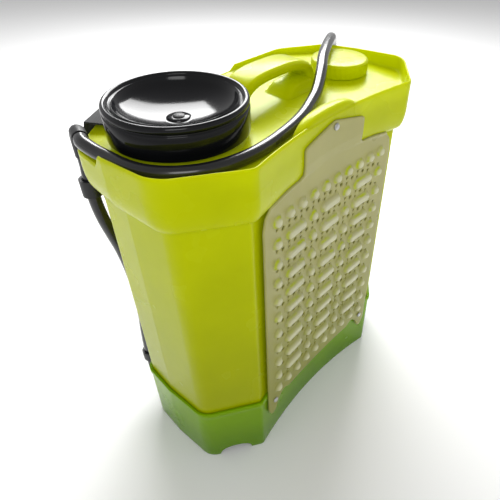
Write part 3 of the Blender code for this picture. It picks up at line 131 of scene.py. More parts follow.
link(cloud.outputs["Fac"], cloudMap.inputs["Value"])
link(cloudMap.outputs[0], cloudTimes.inputs[0])
link(skinIn.outputs["Cloud"], cloudTimes.inputs[1])
link(cloudTimes.outputs[0], cloudPlus.inputs[0])
link(skinIn.outputs["Colour"], shade.inputs[0])
link(cloudPlus.outputs[0], shade.inputs["Scale"])
link(shade.outputs[0], skinOut.inputs["Colour"])
link(cloudMap.outputs[0], roughTimes.inputs[0])
link(skinIn.outputs["Spread"], roughTimes.inputs[1])
link(roughTimes.outputs[0], roughPlus.inputs[0])
link(skinIn.outputs["Roughness"], roughPlus.inputs[1])
link(roughPlus.outputs[0], skinOut.inputs["Roughness"])
link(wave.outputs["Fac"], waveTimes.inputs[0])
link(skinIn.outputs["Wave"], waveTimes.inputs[1])
link(fine.outputs["Fac"], waveTimes.inputs[2])
link(waveTimes.outputs[0], skinOut.inputs["Height"])

# a mask that runs from 0 to 1 between two heights, used to paint shade darker towards the bottom
heightBlend, bandIn, bandOut = newGroup(
    "heightBlend",
    [("Low", "NodeSocketFloat", 0.0), ("High", "NodeSocketFloat", 1.0),
     ("Low Colour", "NodeSocketColor", None), ("High Colour", "NodeSocketColor", None)],
    [("Colour", "NodeSocketColor"), ("Mask", "NodeSocketFloat")])
place = heightBlend.nodes.new("ShaderNodeTexCoord")
parts = heightBlend.nodes.new("ShaderNodeSeparateXYZ")
ramp = addNode(heightBlend, "ShaderNodeMapRange", interpolation_type="SMOOTHSTEP")
mix = addNode(heightBlend, "ShaderNodeMix", data_type="RGBA")
link = heightBlend.links.new
link(place.outputs["Object"], parts.inputs[0])
link(parts.outputs["Z"], ramp.inputs["Value"])
link(bandIn.outputs["Low"], ramp.inputs["From Min"])
link(bandIn.outputs["High"], ramp.inputs["From Max"])
link(ramp.outputs[0], mix.inputs["Factor"])
link(bandIn.outputs["Low Colour"], mix.inputs[6])
link(bandIn.outputs["High Colour"], mix.inputs[7])
link(mix.outputs[2], bandOut.inputs["Colour"])
link(ramp.outputs[0], bandOut.inputs["Mask"])

# woven webbing: ribs up the strap, threads across it
webWeave, weaveIn, weaveOut = newGroup(
    "webWeave", [("Rib", "NodeSocketFloat", 2200.0), ("Thread", "NodeSocketFloat", 3400.0)],
    [("Height", "NodeSocketFloat")])
weaveCoords = webWeave.nodes.new("ShaderNodeTexCoord")
weaveParts = webWeave.nodes.new("ShaderNodeSeparateXYZ")
link = webWeave.links.new
link(weaveCoords.outputs["Object"], weaveParts.inputs[0])
ribTimes = addNode(webWeave, "ShaderNodeMath", operation="MULTIPLY")
threadTimes = addNode(webWeave, "ShaderNodeMath", operation="MULTIPLY")
ribSine = addNode(webWeave, "ShaderNodeMath", operation="SINE")
threadSine = addNode(webWeave, "ShaderNodeMath", operation="SINE")
weaveTimes = addNode(webWeave, "ShaderNodeMath", operation="MULTIPLY")
link(weaveParts.outputs["Z"], ribTimes.inputs[0])
link(weaveIn.outputs["Rib"], ribTimes.inputs[1])
link(weaveParts.outputs["X"], threadTimes.inputs[0])
link(weaveIn.outputs["Thread"], threadTimes.inputs[1])
link(ribTimes.outputs[0], ribSine.inputs[0])
link(threadTimes.outputs[0], threadSine.inputs[0])
link(ribSine.outputs[0], weaveTimes.inputs[0])
link(threadSine.outputs[0], weaveTimes.inputs[1])
link(weaveTimes.outputs[0], weaveOut.inputs["Height"])


# one builder for every plastic, rubber and metal; extra words name the shader's own sockets
def plastic(name, colour, roughness, bump=0.02, cloud=0.06, spread=0.05, fineScale=900.0, waveScale=35.0,
            waveHeight=0.5, lowColour=None, band=(0.0, 0.5), distance=0.001, **sockets):
    material = bpy.data.materials.new(name)
    material.use_nodes = True
    tree = material.node_tree
    shader = tree.nodes["Principled BSDF"]
    skin = addNode(tree, "ShaderNodeGroup", node_tree=mouldSkin)
    skin.inputs["Colour"].default_value = (*colour, 1)
    for key, value in (("Cloud", cloud), ("Roughness", roughness), ("Spread", spread),
                       ("Fine Scale", fineScale), ("Wave Scale", waveScale), ("Wave", waveHeight)):
        skin.inputs[key].default_value = value
    # painted shade: below the band the colour darkens towards lowColour
    if lowColour:
        blend = addNode(tree, "ShaderNodeGroup", node_tree=heightBlend)
        blend.inputs["Low"].default_value, blend.inputs["High"].default_value = band
        blend.inputs["Low Colour"].default_value = (*lowColour, 1)
        blend.inputs["High Colour"].default_value = (*colour, 1)
        tree.links.new(blend.outputs["Colour"], skin.inputs["Colour"])
    relief = addNode(tree, "ShaderNodeBump", {"Strength": bump, "Distance": distance})
    tree.links.new(skin.outputs["Height"], relief.inputs["Height"])
    tree.links.new(skin.outputs["Colour"], shader.inputs["Base Color"])
    tree.links.new(skin.outputs["Roughness"], shader.inputs["Roughness"])
    tree.links.new(relief.outputs[0], shader.inputs["Normal"])
    for key, value in sockets.items():
        shader.inputs[key.replace("_", " ")].default_value = value
    return material


# painted shade: the tank darkens towards the bottom to the olive low colour; the faint yellow emission is a
# painted glow for light passing through the plastic
tankPlastic = plastic("tankPlastic", (0.50, 0.55, 0.0), 0.26, bump=0.05, cloud=0.07, waveScale=22.0,
                      waveHeight=2.2, fineScale=700.0, lowColour=(0.30, 0.33, 0.0), band=(0.08, 0.44),
                      Subsurface_Weight=0.35, Subsurface_Radius=(1.0, 1.0, 0.08), Subsurface_Scale=0.012,
                      Specular_IOR_Level=0.2, Specular_Tint=(0.8, 1.0, 0.15, 1),
                      Emission_Color=(0.4, 0.5, 0.0, 1), Emission_Strength=0.1)
# painted shade: the base darkens towards the floor to the low colour; the faint green emission is a painted
# glow for light passing through the plastic
basePlastic = plastic("basePlastic", (0.17, 0.32, 0.0), 0.24, bump=0.05, cloud=0.1, waveScale=25.0,
                      waveHeight=2.0, lowColour=(0.09, 0.2, 0.0), band=(0.0, 0.106),
                      Subsurface_Weight=0.25, Subsurface_Radius=(0.6, 1.0, 0.05), Subsurface_Scale=0.008,
                      Specular_IOR_Level=0.25, Specular_Tint=(0.7, 1.0, 0.2, 1),
                      Emission_Color=(0.14, 0.3, 0.0, 1), Emission_Strength=0.06)
# painted shade: the pad darkens towards the bottom to the low colour
padPlastic = plastic("padPlastic", (0.44, 0.42, 0.15), 0.3, bump=0.04, cloud=0.08, fineScale=600.0,
                     lowColour=(0.28, 0.28, 0.05), band=(0.05, 0.40),
                     Subsurface_Weight=0.3, Subsurface_Radius=(1.0, 1.0, 0.5), Subsurface_Scale=0.004,
                     Specular_IOR_Level=0.3)
padTree = padPlastic.node_tree
padRise = addNode(padTree, "ShaderNodeAttribute", attribute_name="bumpRise")
padBlend = next(n for n in padTree.nodes if n.type == "GROUP" and n.node_tree == heightBlend)
padSkin = next(n for n in padTree.nodes if n.type == "GROUP" and n.node_tree == mouldSkin)
# painted highlight: the tips of the bumps are lightened towards a pale colour by their rise
padTipHighlight = addNode(padTree, "ShaderNodeMix", {7: (0.62, 0.61, 0.38, 1)}, data_type="RGBA")
padTree.links.new(padRise.outputs["Fac"], padTipHighlight.inputs["Factor"])
padTree.links.new(padBlend.outputs["Colour"], padTipHighlight.inputs[6])
# painted glow: the thin sloping sides of the bumps get a bright yellow that stands in for light passing
# through the tank, broken up by noise, most of all near the top
padSides = addNode(padTree, "ShaderNodeValToRGB")
padSides.color_ramp.elements[0].color = (0, 0, 0, 1)
padSides.color_ramp.elements[1].position, padSides.color_ramp.elements[1].color = 0.85, (0, 0, 0, 1)
for position in (0.25, 0.5):
    padSides.color_ramp.elements.new(position).color = (1, 1, 1, 1)
padPatch = addNode(padTree, "ShaderNodeTexNoise", {"Scale": 95.0, "Detail": 2.0})
padPatchMap = addNode(padTree, "ShaderNodeMapRange", {"From Min": 0.38, "From Max": 0.6})
padCoords = padTree.nodes.new("ShaderNodeTexCoord")
padTree.links.new(padCoords.outputs["Object"], padPatch.inputs["Vector"])
padTree.links.new(padPatch.outputs["Fac"], padPatchMap.inputs["Value"])
padBroken = addNode(padTree, "ShaderNodeMath", operation="MULTIPLY")
padGlow = addNode(padTree, "ShaderNodeMath", operation="MULTIPLY")
padSideGlow = addNode(padTree, "ShaderNodeMix", {7: (0.48, 0.56, 0.0, 1)}, data_type="RGBA")
padTree.links.new(padRise.outputs["Fac"], padSides.inputs["Fac"])
padTree.links.new(padSides.outputs["Color"], padBroken.inputs[0])
padTree.links.new(padPatchMap.outputs[0], padBroken.inputs[1])
padTree.links.new(padBroken.outputs[0], padGlow.inputs[0])
padTree.links.new(padBlend.outputs["Mask"], padGlow.inputs[1])
padTree.links.new(padGlow.outputs[0], padSideGlow.inputs["Factor"])
padTree.links.new(padTipHighlight.outputs[2], padSideGlow.inputs[6])
padTree.links.new(padSideGlow.outputs[2], padSkin.inputs["Colour"])
lidPlastic = plastic("lidPlastic", (0.0045, 0.0048, 0.006), 0.11, bump=0.02, cloud=0.3, spread=0.03,
                     waveScale=30.0, waveHeight=1.2, Specular_IOR_Level=0.3)
blackPlastic = plastic("blackPlastic", (0.012, 0.012, 0.013), 0.42, bump=0.12, cloud=0.2, fineScale=1800.0)
redPlastic = plastic("redPlastic", (0.42, 0.012, 0.01), 0.3, bump=0.02, cloud=0.1)
hoseRubber = plastic("hoseRubber", (0.009, 0.009, 0.0105), 0.24, bump=0.03, cloud=0.25, fineScale=500.0,
                     waveScale=60.0, Coat_Weight=0.3, Coat_Roughness=0.12)
sealRubber = plastic("sealRubber", (0.02, 0.02, 0.02), 0.65, bump=0.1, cloud=0.15)
steelFinish = plastic("steelFinish", (0.52, 0.52, 0.51), 0.3, bump=0.05, cloud=0.12, spread=0.1,
                      fineScale=2400.0, Metallic=1.0)
brassFinish = plastic("brassFinish", (0.68, 0.46, 0.18), 0.28, bump=0.03, cloud=0.12, Metallic=1.0)
lensPlastic = plastic("lensPlastic", (0.02, 0.025, 0.03), 0.08, bump=0.005, cloud=0.05)
meshPlastic = plastic("meshPlastic", (0.72, 0.72, 0.69), 0.45, bump=0.05, cloud=0.05)

webbing = bpy.data.materials.new("webbing")
webbing.use_nodes = True
webTree = webbing.node_tree
webShader = webTree.nodes["Principled BSDF"]
webShader.inputs["Sheen Weight"].default_value = 0.25
webShader.inputs["Sheen Roughness"].default_value = 0.5
weave = addNode(webTree, "ShaderNodeGroup", node_tree=webWeave)
webSkin = addNode(webTree, "ShaderNodeGroup", node_tree=mouldSkin)
for key, value in (("Colour", (0.012, 0.012, 0.013, 1)), ("Cloud", 0.35), ("Roughness", 0.75),
                   ("Spread", 0.08)):
    webSkin.inputs[key].default_value = value
webBump = addNode(webTree, "ShaderNodeBump", {"Strength": 0.5, "Distance": 0.0006})
webTree.links.new(weave.outputs["Height"], webBump.inputs["Height"])
webTree.links.new(webSkin.outputs["Colour"], webShader.inputs["Base Color"])
webTree.links.new(webSkin.outputs["Roughness"], webShader.inputs["Roughness"])
webTree.links.new(webBump.outputs[0], webShader.inputs["Normal"])
print("materials made")


def linkPiece(name, mesh, material, body="sprayer", smoothAngle=None):
    if material:
        mesh.materials.append(material)
    mesh.shade_smooth()
    if smoothAngle:
        mesh.set_sharp_from_angle(angle=math.radians(smoothAngle))
    piece = bpy.data.objects.new(name, mesh)
    bpy.context.scene.collection.objects.link(piece)
    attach(piece, body)
    return piece


# a grid of points (rows v, columns u) skinned with quads, optionally closed both ways or capped
def gridMesh(name, points, closeU=False, closeV=False, capStart=False, capEnd=False):
    rows, columns = points.shape[:2]
    index = np.arange(rows * columns).reshape(rows, columns)
    if closeV:
        index = np.vstack([index, index[:1]])
    if closeU:
        index = np.hstack([index, index[:, :1]])
    quads = np.stack([index[:-1, :-1], index[:-1, 1:], index[1:, 1:], index[1:, :-1]], -1).reshape(-1, 4)
    faces = quads.tolist()
    if capStart:
        faces.append(list(range(columns))[::-1])
    if capEnd:
        faces.append(list(range((rows - 1) * columns, rows * columns)))
    mesh = bpy.data.meshes.new(name)
    mesh.from_pydata(points.reshape(-1, 3).tolist(), [], faces)
    turnOut(mesh)
    return mesh


# merges doubles and points every face outwards
def turnOut(mesh, merge=1e-6):
    work = bmesh.new()
    work.from_mesh(mesh)
    bmesh.ops.remove_doubles(work, verts=work.verts, dist=merge)
    bmesh.ops.recalc_face_normals(work, faces=work.faces)
    work.to_mesh(mesh)
    work.free()
    mesh.update()


# even points on a Catmull-Rom curve: each span is the cubic through its four nearest points
def smoothLine(points, spacing):
    route = np.array([tuple(p) for p in points], dtype=float)
    ends = np.vstack([2 * route[0] - route[1], route, 2 * route[-1] - route[-2]])
    t = np.arange(0, 1, 0.02)[:, None]
    spans = [0.5 * (2 * b + (c - a) * t + (2 * a - 5 * b + 4 * c - d) * t ** 2
                    + (3 * b - a - 3 * c + d) * t ** 3)
             for a, b, c, d in zip(ends, ends[1:], ends[2:], ends[3:])]
    dense = np.vstack(spans + [route[-1:]])
    travelled = np.concatenate([[0], np.cumsum(np.linalg.norm(np.diff(dense, axis=0), axis=1))])
    stops = np.linspace(0, travelled[-1], max(2, int(round(travelled[-1] / spacing))) + 1)
    return np.column_stack([np.interp(stops, travelled, dense[:, k]) for k in range(3)])


# a profile of (radius, height) turned about an upright axis; the ends close on themselves
def turnedMesh(name, profile, centre, steps=128, ripple=None):
    profile = np.array(profile, dtype=float)
    angle = np.arange(steps) * 2 * np.pi / steps
    radius = np.repeat(profile[:, :1], steps, 1)
    if ripple is not None:
        radius = radius + ripple(profile, angle)
    points = np.stack([centre[0] + radius * np.cos(angle), centre[1] + radius * np.sin(angle),
                       np.repeat(profile[:, 1:], steps, 1)], -1) * mm
    return gridMesh(name, points, closeU=True, closeV=True)


# a closed outline of (a, b, radius) corners, each corner replaced by an arc of that radius
def roundedProfile(corners, steps=4):
    spots = np.array([c[:2] for c in corners], dtype=float)
    out = []
    for i, corner in enumerate(corners):
        back, ahead = spots[i - 1] - spots[i], spots[(i + 1) % len(corners)] - spots[i]
        reachLimit = 0.49 * min(np.linalg.norm(back), np.linalg.norm(ahead))
        back, ahead = back / np.linalg.norm(back), ahead / np.linalg.norm(ahead)
        half = math.acos(float(np.clip(back.dot(ahead), -1, 1))) / 2
        radius = min(corner[2], reachLimit * math.tan(half)) if corner[2] else 0
        if radius < 1e-4:
            out.append(spots[i])
            continue
        middle = (back + ahead) / np.linalg.norm(back + ahead)
        centre = spots[i] + middle * radius / math.sin(half)
        start = spots[i] + back * radius / math.tan(half) - centre
        end = spots[i] + ahead * radius / math.tan(half) - centre
        a0, a1 = math.atan2(start[1], start[0]), math.atan2(end[1], end[0])
        turn = (a1 - a0 + math.pi) % (2 * math.pi) - math.pi
        angles = a0 + turn * np.linspace(0, 1, steps + 1)
        out += [centre + radius * np.array([math.cos(a), math.sin(a)]) for a in angles]
    return np.array(out)


# a flat closed section (a along the side direction, b along the normal) carried along a path
def sweptMesh(name, path, section, side):
    path = np.array(path, dtype=float)
    ahead = np.gradient(path, axis=0)
    ahead /= np.linalg.norm(ahead, axis=1)[:, None]
    side = np.broadcast_to(np.array(side, dtype=float), path.shape)
    side = side - (side * ahead).sum(1)[:, None] * ahead
    side = side / np.linalg.norm(side, axis=1)[:, None]
    normal = np.cross(ahead, side)
    section = np.asarray(section, dtype=float)
    points = (path[:, None] + section[None, :, :1] * side[:, None]
              + section[None, :, 1:] * normal[:, None]) * mm
    return gridMesh(name, points, closeU=True, capStart=True, capEnd=True)


hoseSet = {"diameter": 14.0, "spacing": 5.0}
riserRoute = [(-165.66, 84.22, 87.6), (-165.66, 84.22, 99.6), (-163.5, 84.6, 130), (-159.5, 86, 170),
              (-158.6, 86.4, 212), (-160.8, 85.6, 250), (-166.0, 83.2, 286), (-172.8, 80.8, 316),
              (-179.0, 78.6, 343), (-182.3, 77.8, 370), (-182.3, 77.4, 395), (-181, 77, 415),
              (-181, 77, 425.6)]
sprayRoute = [(-191.68, 50.15, 457.5), (-194.27, 43.64, 457.5), (-195.0, 34, 456.8), (-194.8, 18, 455.6),
              (-194.0, 2, 455.4), (-193.6, -14, 455.4), (-191.2, -30, 455.4), (-186, -44, 455.4),
              (-178, -56.5, 455.4), (-166, -68.5, 455.4), (-150, -79, 455.4), (-130, -86, 455.4),
              (-106, -89.5, 455.4), (-82, -88.5, 455.4), (-56, -84.5, 455.4), (-30, -79, 455.6),
              (-6, -72, 456.4), (18, -62.5, 458), (40, -53, 460.5), (62, -41, 465), (84, -27.5, 470.5),
              (106, -12.5, 474.2), (128, 0.5, 475.6), (150, 13, 475.6), (171, 24.5, 474.4),
              (190, 35.5, 471), (206, 45.5, 464), (219, 53.5, 452), (227.5, 59.5, 436),
              (232, 64, 414), (234, 69, 385), (234, 75, 350), (233, 82, 310), (229, 90, 272),
              (219, 97, 235), (203, 103, 200), (180, 108, 172), (150, 110, 155), (118, 110, 151),
              (90, 109.5, 162), (72, 109, 182), (66, 109, 204), (66, 109, 219.2)]


def hoseCurve(name, route, node):
    line = smoothLine(route, hoseSet["spacing"]) * mm
    curve = bpy.data.curves.new(name, "CURVE")
    curve.dimensions = "3D"
    curve.bevel_depth = hoseSet["diameter"] / 2 * mm
    curve.bevel_resolution = 8
    curve.use_fill_caps = True
    spline = curve.splines.new("POLY")
    spline.points.add(len(line) - 1)
    spline.points.foreach_set("co", np.hstack([line, np.ones((len(line), 1))]).ravel())
    curve.materials.append(hoseRubber)
    piece = bpy.data.objects.new(name, curve)
    bpy.context.scene.collection.objects.link(piece)
    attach(piece, "sprayer")
    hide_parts(node)


hoseCurve("riserHose", riserRoute, "riser_hose")
hoseCurve("sprayHose", sprayRoute, "spray_hose")
print("hoses laid")


tankPlan = {"halfWidth": 196.5, "front": 113.0, "back": 86.0, "wearerHalf": 133.0, "sag": 15.0,
            "shoulder": 45.0, "foldY": -2.0, "backIn": 6.0, "backY": 48.0, "backHalf": 140.0}


# the hollowed wearer side: a shallow parabola between its two corners
def frontFace(x, grow=0.0):
    return -(tankPlan["front"] + grow) + tankPlan["sag"] * (1 - (x / tankPlan["wearerHalf"]) ** 2)


# points round the plan pushed out by grow: straight runs, corner arcs and the hollowed front
def planOutline(grow):
    p = tankPlan
    half = [(p["wearerHalf"], -p["front"], 9.0), (p["halfWidth"], -p["front"] + p["shoulder"], 26.0),
            (p["halfWidth"], p["foldY"], 3.0), (p["halfWidth"] - p["backIn"], p["backY"], 15.0),
            (p["backHalf"], p["back"], 18.0)]
    corners = half + [(-x, y, r) for x, y, r in reversed(half)]
    spots = np.array([c[:2] for c in corners])
    before = spots - np.roll(spots, 1, 0)
    after = np.roll(spots, -1, 0) - spots
    n0 = np.stack([before[:, 1], -before[:, 0]], -1) / np.linalg.norm(before, axis=1)[:, None]
    n1 = np.stack([after[:, 1], -after[:, 0]], -1) / np.linalg.norm(after, axis=1)[:, None]
    bisector = n0 + n1
    moved = spots + bisector * (grow / (bisector * n0).sum(1))[:, None]
    runs, ends = [], []
    arcSteps, runSteps = 10, 28
    for i, (x, y, r) in enumerate(corners):
        radius = max(r + grow, 1.0) if r > 5 else r
        back = moved[i - 1] - moved[i]
        ahead = moved[(i + 1) % len(moved)] - moved[i]
        back, ahead = back / np.linalg.norm(back), ahead / np.linalg.norm(ahead)
        halfTurn = math.acos(float(np.clip(back.dot(ahead), -1, 1))) / 2
        middle = (back + ahead) / np.linalg.norm(back + ahead)
        centre = moved[i] + middle * radius / math.sin(halfTurn)
        start = moved[i] + back * radius / math.tan(halfTurn) - centre
        turn = (math.pi - 2 * halfTurn) * np.linspace(0, 1, arcSteps + 1)
        arc = np.stack([centre[0] + start[0] * np.cos(turn) - start[1] * np.sin(turn),
                        centre[1] + start[0] * np.sin(turn) + start[1] * np.cos(turn)], -1)
        ends.append(arc)
    for i, arc in enumerate(ends):
        nextArc = ends[(i + 1) % len(ends)]
        runs.append(arc)
        last = i == len(ends) - 1
        share = np.linspace(0, 1, (4 * runSteps if last else runSteps) + 1)[1:-1, None]
        run = arc[-1] * (1 - share) + nextArc[0] * share
        if last:  # the hollowed front
            edge = nextArc[0][0]
            bow = frontFace(run[:, 0], grow) - (-(p["front"] + grow))
            level = frontFace(edge, grow) + (p["front"] + grow)
            run[:, 1] = run[:, 1] + (bow - level)
        runs.append(run)
    return np.vstack(runs)


def planRing(grow, height):
    outline = planOutline(grow)
    level = height(outline[:, 0], outline[:, 1]) if callable(height) else np.full(len(outline), float(height))
    return np.column_stack([outline, level])


def between(value, low, high):
    share = np.clip((value - low) / (high - low), 0, 1)
    return share * share * (3 - 2 * share)


tankSet = {"seat": 97.0, "collar": 404.0, "deck": 448.0, "rim": 466.0, "rimFall": 0.065, "lowRim": 449.0,
           "lowX": 55.0, "lowY": 4.0, "collarOut": 9.0, "wallIn": 3.0}


# the rim sinks evenly towards the back and dips low round the back left corner
def rimHeight(x, y):
    t = tankSet
    full = t["rim"] - t["rimFall"] * np.maximum(0, y + tankPlan["front"] - tankPlan["shoulder"])
    dip = between(y, t["lowY"] - 1, t["lowY"] + 9) * (1 - between(x, t["lowX"] - 8, t["lowX"] + 2))
    return full + (t["lowRim"] - full) * dip


def tankMesh():
    t = tankSet
    wall, deck = -t["wallIn"], t["deck"]
    rings = [planRing(wall - 4, t["seat"]), planRing(wall - 1.2, t["seat"] + 0.8),
             planRing(wall, t["seat"] + 3)]
    rings += [planRing(wall, z) for z in np.linspace(t["seat"] + 12, t["collar"] - 5, 14)]
    # the collar steps out over a soft shoulder, bulges, and draws in towards the rim
    shoulder = [(-3.0, 402.2), (-2.6, 403.4), (-1.2, 404.4), (1.0, 405.3), (3.2, 406.8), (5.0, 409.0),
                (6.4, 412.0), (7.6, 416.5), (8.5, 422.0), (9.0, 428.0), (9.0, 436.0), (8.9, 444.0)]
    rings += [planRing(grow, z) for grow, z in shoulder]
    for grow, drop in ((8.9, 7.0), (9.0, 3.2), (8.7, 1.5), (7.9, 0.45), (7.1, 0.0), (6.5, 0.35), (5.9, 1.4)):
        rings.append(planRing(grow, lambda x, y, d=drop: np.maximum(rimHeight(x, y) - d,
                                                                    deck - 1.5 - d * 0.2)))
    for grow, lift in ((5.5, 5.0), (5.0, 2.4), (4.0, 0.8), (2.2, 0.1)):
        rings.append(planRing(grow, lambda x, y, k=lift: np.minimum(deck + k, rimHeight(x, y) - 1)))
    for share in (0.97, 0.9, 0.75, 0.5, 0.25, 0.06):
        ring = planRing(1.5, deck)
        ring[:, :2] *= share
        rings.append(ring)
    return gridMesh("tankShell", np.array(rings) * mm, closeU=True, capStart=True, capEnd=True)


tankShell = linkPiece("tankShell", tankMesh(), tankPlastic)
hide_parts("tank")

filler = (-114.5, -2.0)
port = (145.5, -11.0)
neckProfile = [(55, 452), (55.2, 473.4), (55.8, 474), (61.2, 474), (62, 473.2)]
for height in (467.0, 461.0):
    neckProfile += [(62, height + 1.8), (63.7, height + 0.4), (63.7, height - 0.4), (62, height - 1.8)]
neckProfile += [(62, 454), (63, 450.5), (66, 448.4), (66.5, 446), (55, 446)]
linkPiece("fillerNeck", turnedMesh("fillerNeck", neckProfile, filler), tankPlastic,
          smoothAngle=50)
portNeckProfile = [(26.5, 446), (26.5, 460), (27, 460.5), (30.5, 460.5), (31, 460), (31, 451), (32.5, 448.6),
                   (35, 448.2), (35, 446)]
linkPiece("portNeck", turnedMesh("portNeck", portNeckProfile, port), tankPlastic,
          smoothAngle=50)

handleSet = {"left": -42.0, "right": 88.0, "top": 486.5, "depth": 36.0, "thick": 12.5, "y": 2.0,
             "steps": 90, "squareX": 0.72, "squareZ": 0.62, "spacing": 2.5}


# the arch's middle line is a flattened half ellipse: powers of cosine and sine square it off
def handleMesh():
    h = handleSet
    deck = tankSet["deck"]
    rise = h["top"] - h["thick"] / 2 - deck
    middle, half = (h["left"] + h["right"]) / 2, (h["right"] - h["left"] - h["thick"]) / 2
    angle = np.linspace(np.pi, 0, h["steps"])
    flat = np.abs(np.cos(angle)) ** h["squareX"] * np.sign(np.cos(angle))
    lift = np.sin(angle).clip(0) ** h["squareZ"]
    path = np.column_stack([middle + half * flat, np.full(h["steps"], h["y"]), deck + rise * lift])
    path[0], path[-1] = (middle - half, h["y"], deck - 2), (middle + half, h["y"], deck - 2)
    section = roundedProfile([(-h["depth"] / 2, -h["thick"] / 2, 5), (h["depth"] / 2, -h["thick"] / 2, 5),
                              (h["depth"] / 2, h["thick"] / 2, 4.5),
                              (-h["depth"] / 2, h["thick"] / 2, 4.5)], 6)
    apart = np.linalg.norm(np.diff(path, axis=0), axis=1) > 0.8  # drop points that crowd each other
    path = smoothLine(path[np.concatenate([[True], apart])], h["spacing"])
    return sweptMesh("handle", path, section, (0, 1, 0))


linkPiece("handle", handleMesh(), tankPlastic, smoothAngle=60)


# stacked rounded rectangles between two plan corners; each level is (height, inset, left inset)
def swellingMesh(name, low, high, levels, corner):
    rings = []
    for height, inset, leftInset in levels:
        x0, x1 = low[0] + inset + leftInset, high[0] - inset
        y0, y1 = low[1] + inset, high[1] - inset
        outline = roundedProfile([(x0, y0, corner), (x1, y0, corner), (x1, y1, corner), (x0, y1, corner)], 8)
        rings.append(np.column_stack([outline, np.full(len(outline), height)]))
    return gridMesh(name, np.array(rings) * mm, closeU=True, capStart=True, capEnd=True)


rootLevels = [(446.5, 0, 0), (448.2, 0, 0), (449.2, 1.2, 1), (453, 2.2, 4), (457, 3, 9), (459.2, 4, 14),
              (460, 6, 18)]
linkPiece("handleRoot", swellingMesh("handleRoot", (26, -24), (83, 17), rootLevels, 8), tankPlastic,
          smoothAngle=60)


humpSet = {"middle": -5, "half": 53, "foot": 446.5, "low": 457.5, "rise": 15, "depth": 18, "taper": 6,
           "steps": 80, "roundest": 8.0}


# a thick bead along the rim's middle; its top is a flattened dome in x and round in section
def humpMesh():
    h = humpSet
    x = np.linspace(h["middle"] - h["half"], h["middle"] + h["half"], h["steps"])
    share = np.abs(x - h["middle"]) / h["half"]
    top = h["low"] + h["rise"] * np.clip(1 - share ** 4, 0, 1) ** 0.8
    depth = h["depth"] - h["taper"] * share
    face = frontFace(x, tankSet["collarOut"])
    turn = np.linspace(0, np.pi, 15)
    wide = depth / 2
    across = face + wide
    radius = np.minimum(wide, h["roundest"])
    arcY = np.sign(-np.cos(turn)) * np.abs(np.cos(turn)) ** 0.7
    arcZ = np.abs(np.sin(turn)) ** 0.75
    y = across[:, None] + wide[:, None] * arcY[None]
    z = (top - radius)[:, None] + radius[:, None] * arcZ[None]
    foot = np.full((len(x), 1), h["foot"])
    y = np.hstack([y[:, :1], y, y[:, -1:]])
    z = np.hstack([foot, z, foot])
    points = np.stack([np.repeat(x[:, None], y.shape[1], 1), y, z], -1)
    return gridMesh("rimHump", points * mm, closeU=True, capStart=True, capEnd=True)


linkPiece("rimHump", humpMesh(), tankPlastic, smoothAngle=60)
print("tank made")

# filler lid and small cap: closed outlines of radius and height
lidProfile = [(69.2, 457.5), (69.8, 457.8), (70, 458.6), (70, 464), (70, 472),
              (70, 481.2), (69.6, 481.9), (68.6, 482.4), (68.3, 483), (68.6, 483.8), (69.6, 484.4),
              (70, 485.2),
              (70, 487.2), (69.7, 488.4), (69.0, 489.5), (67.9, 490.2), (66.8, 490.5), (65.6, 490.2),
              (64.6, 489.5),
              (63.8, 488.3), (63.2, 487.2), (62.4, 486.9), (61.7, 487.3), (61.0, 488.2), (60.2, 488.7),
              (59.4, 488.4), (58.6, 487.2), (57.4, 484.8),
              (55, 482), (52, 479.6), (48, 477.3), (43, 475.1), (37, 472.9), (30, 471), (22, 469.5),
              (14, 468.6),
              (11.4, 468.4), (11, 468.7), (10.8, 469.8), (10.2, 470.2), (2.4, 470.3), (2.4, 465), (24, 466.5),
              (36, 468.7), (46, 473), (51.5, 477.1), (53.5, 478), (65.3, 478), (65.3, 457.5)]
lid = linkPiece("lidShell", turnedMesh("lidShell", lidProfile, filler, 160), lidPlastic,
                "lid", 50)
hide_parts("filler_lid")
capProfile = [(0.01, 466), (20, 466), (33.8, 465.9), (35.4, 465.4), (36.5, 464.4), (37, 463), (37, 450.6),
              (36.6, 449.4), (35.8, 449), (33.8, 449), (33.8, 463.2), (0.01, 463.2)]
cap = linkPiece("portCap", turnedMesh("portCap", capProfile, port, 144,
                                      ripple=lambda p, a: 0.28 * np.cos(36 * a)[None]
                                      * ((p[:, 0] > 36.4) & (p[:, 1] > 450) & (p[:, 1] < 464))[:, None]),
                tankPlastic, "port", 50)
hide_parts("port_cap")
print("lid and cap made")

# base tray
baseSet = {"height": 106.0, "shelf": 96.7, "archHalf": 22.0, "archHeight": 14.0}
chamferMiddles = []
for sign in (-1, 1):
    front = ((sign * tankPlan["wearerHalf"], -tankPlan["front"]),
             (sign * tankPlan["halfWidth"], tankPlan["shoulder"] - tankPlan["front"]))
    rear = ((sign * (tankPlan["halfWidth"] - tankPlan["backIn"]), tankPlan["backY"]),
            (sign * tankPlan["backHalf"], tankPlan["back"]))
    chamferMiddles += [(np.add(*pair) / 2, np.subtract(pair[1], pair[0]) / np.linalg.norm(np.subtract(*pair)))
                       for pair in (front, rear)]


# zero, but rising as a low arch along the middle of each chamfer
def footHeight(x, y):
    level = np.zeros(len(x))
    for middle, along in chamferMiddles:
        rel = np.column_stack([x, y]) - middle
        t = np.abs(rel @ along)
        near = np.abs(rel @ np.array([-along[1], along[0]])) < 9
        arch = baseSet["archHeight"] * np.clip(1 - (t / baseSet["archHalf"]) ** 2, 0, 1) ** 0.35
        level = np.where(near & (t < baseSet["archHalf"]), arch, level)
    return level


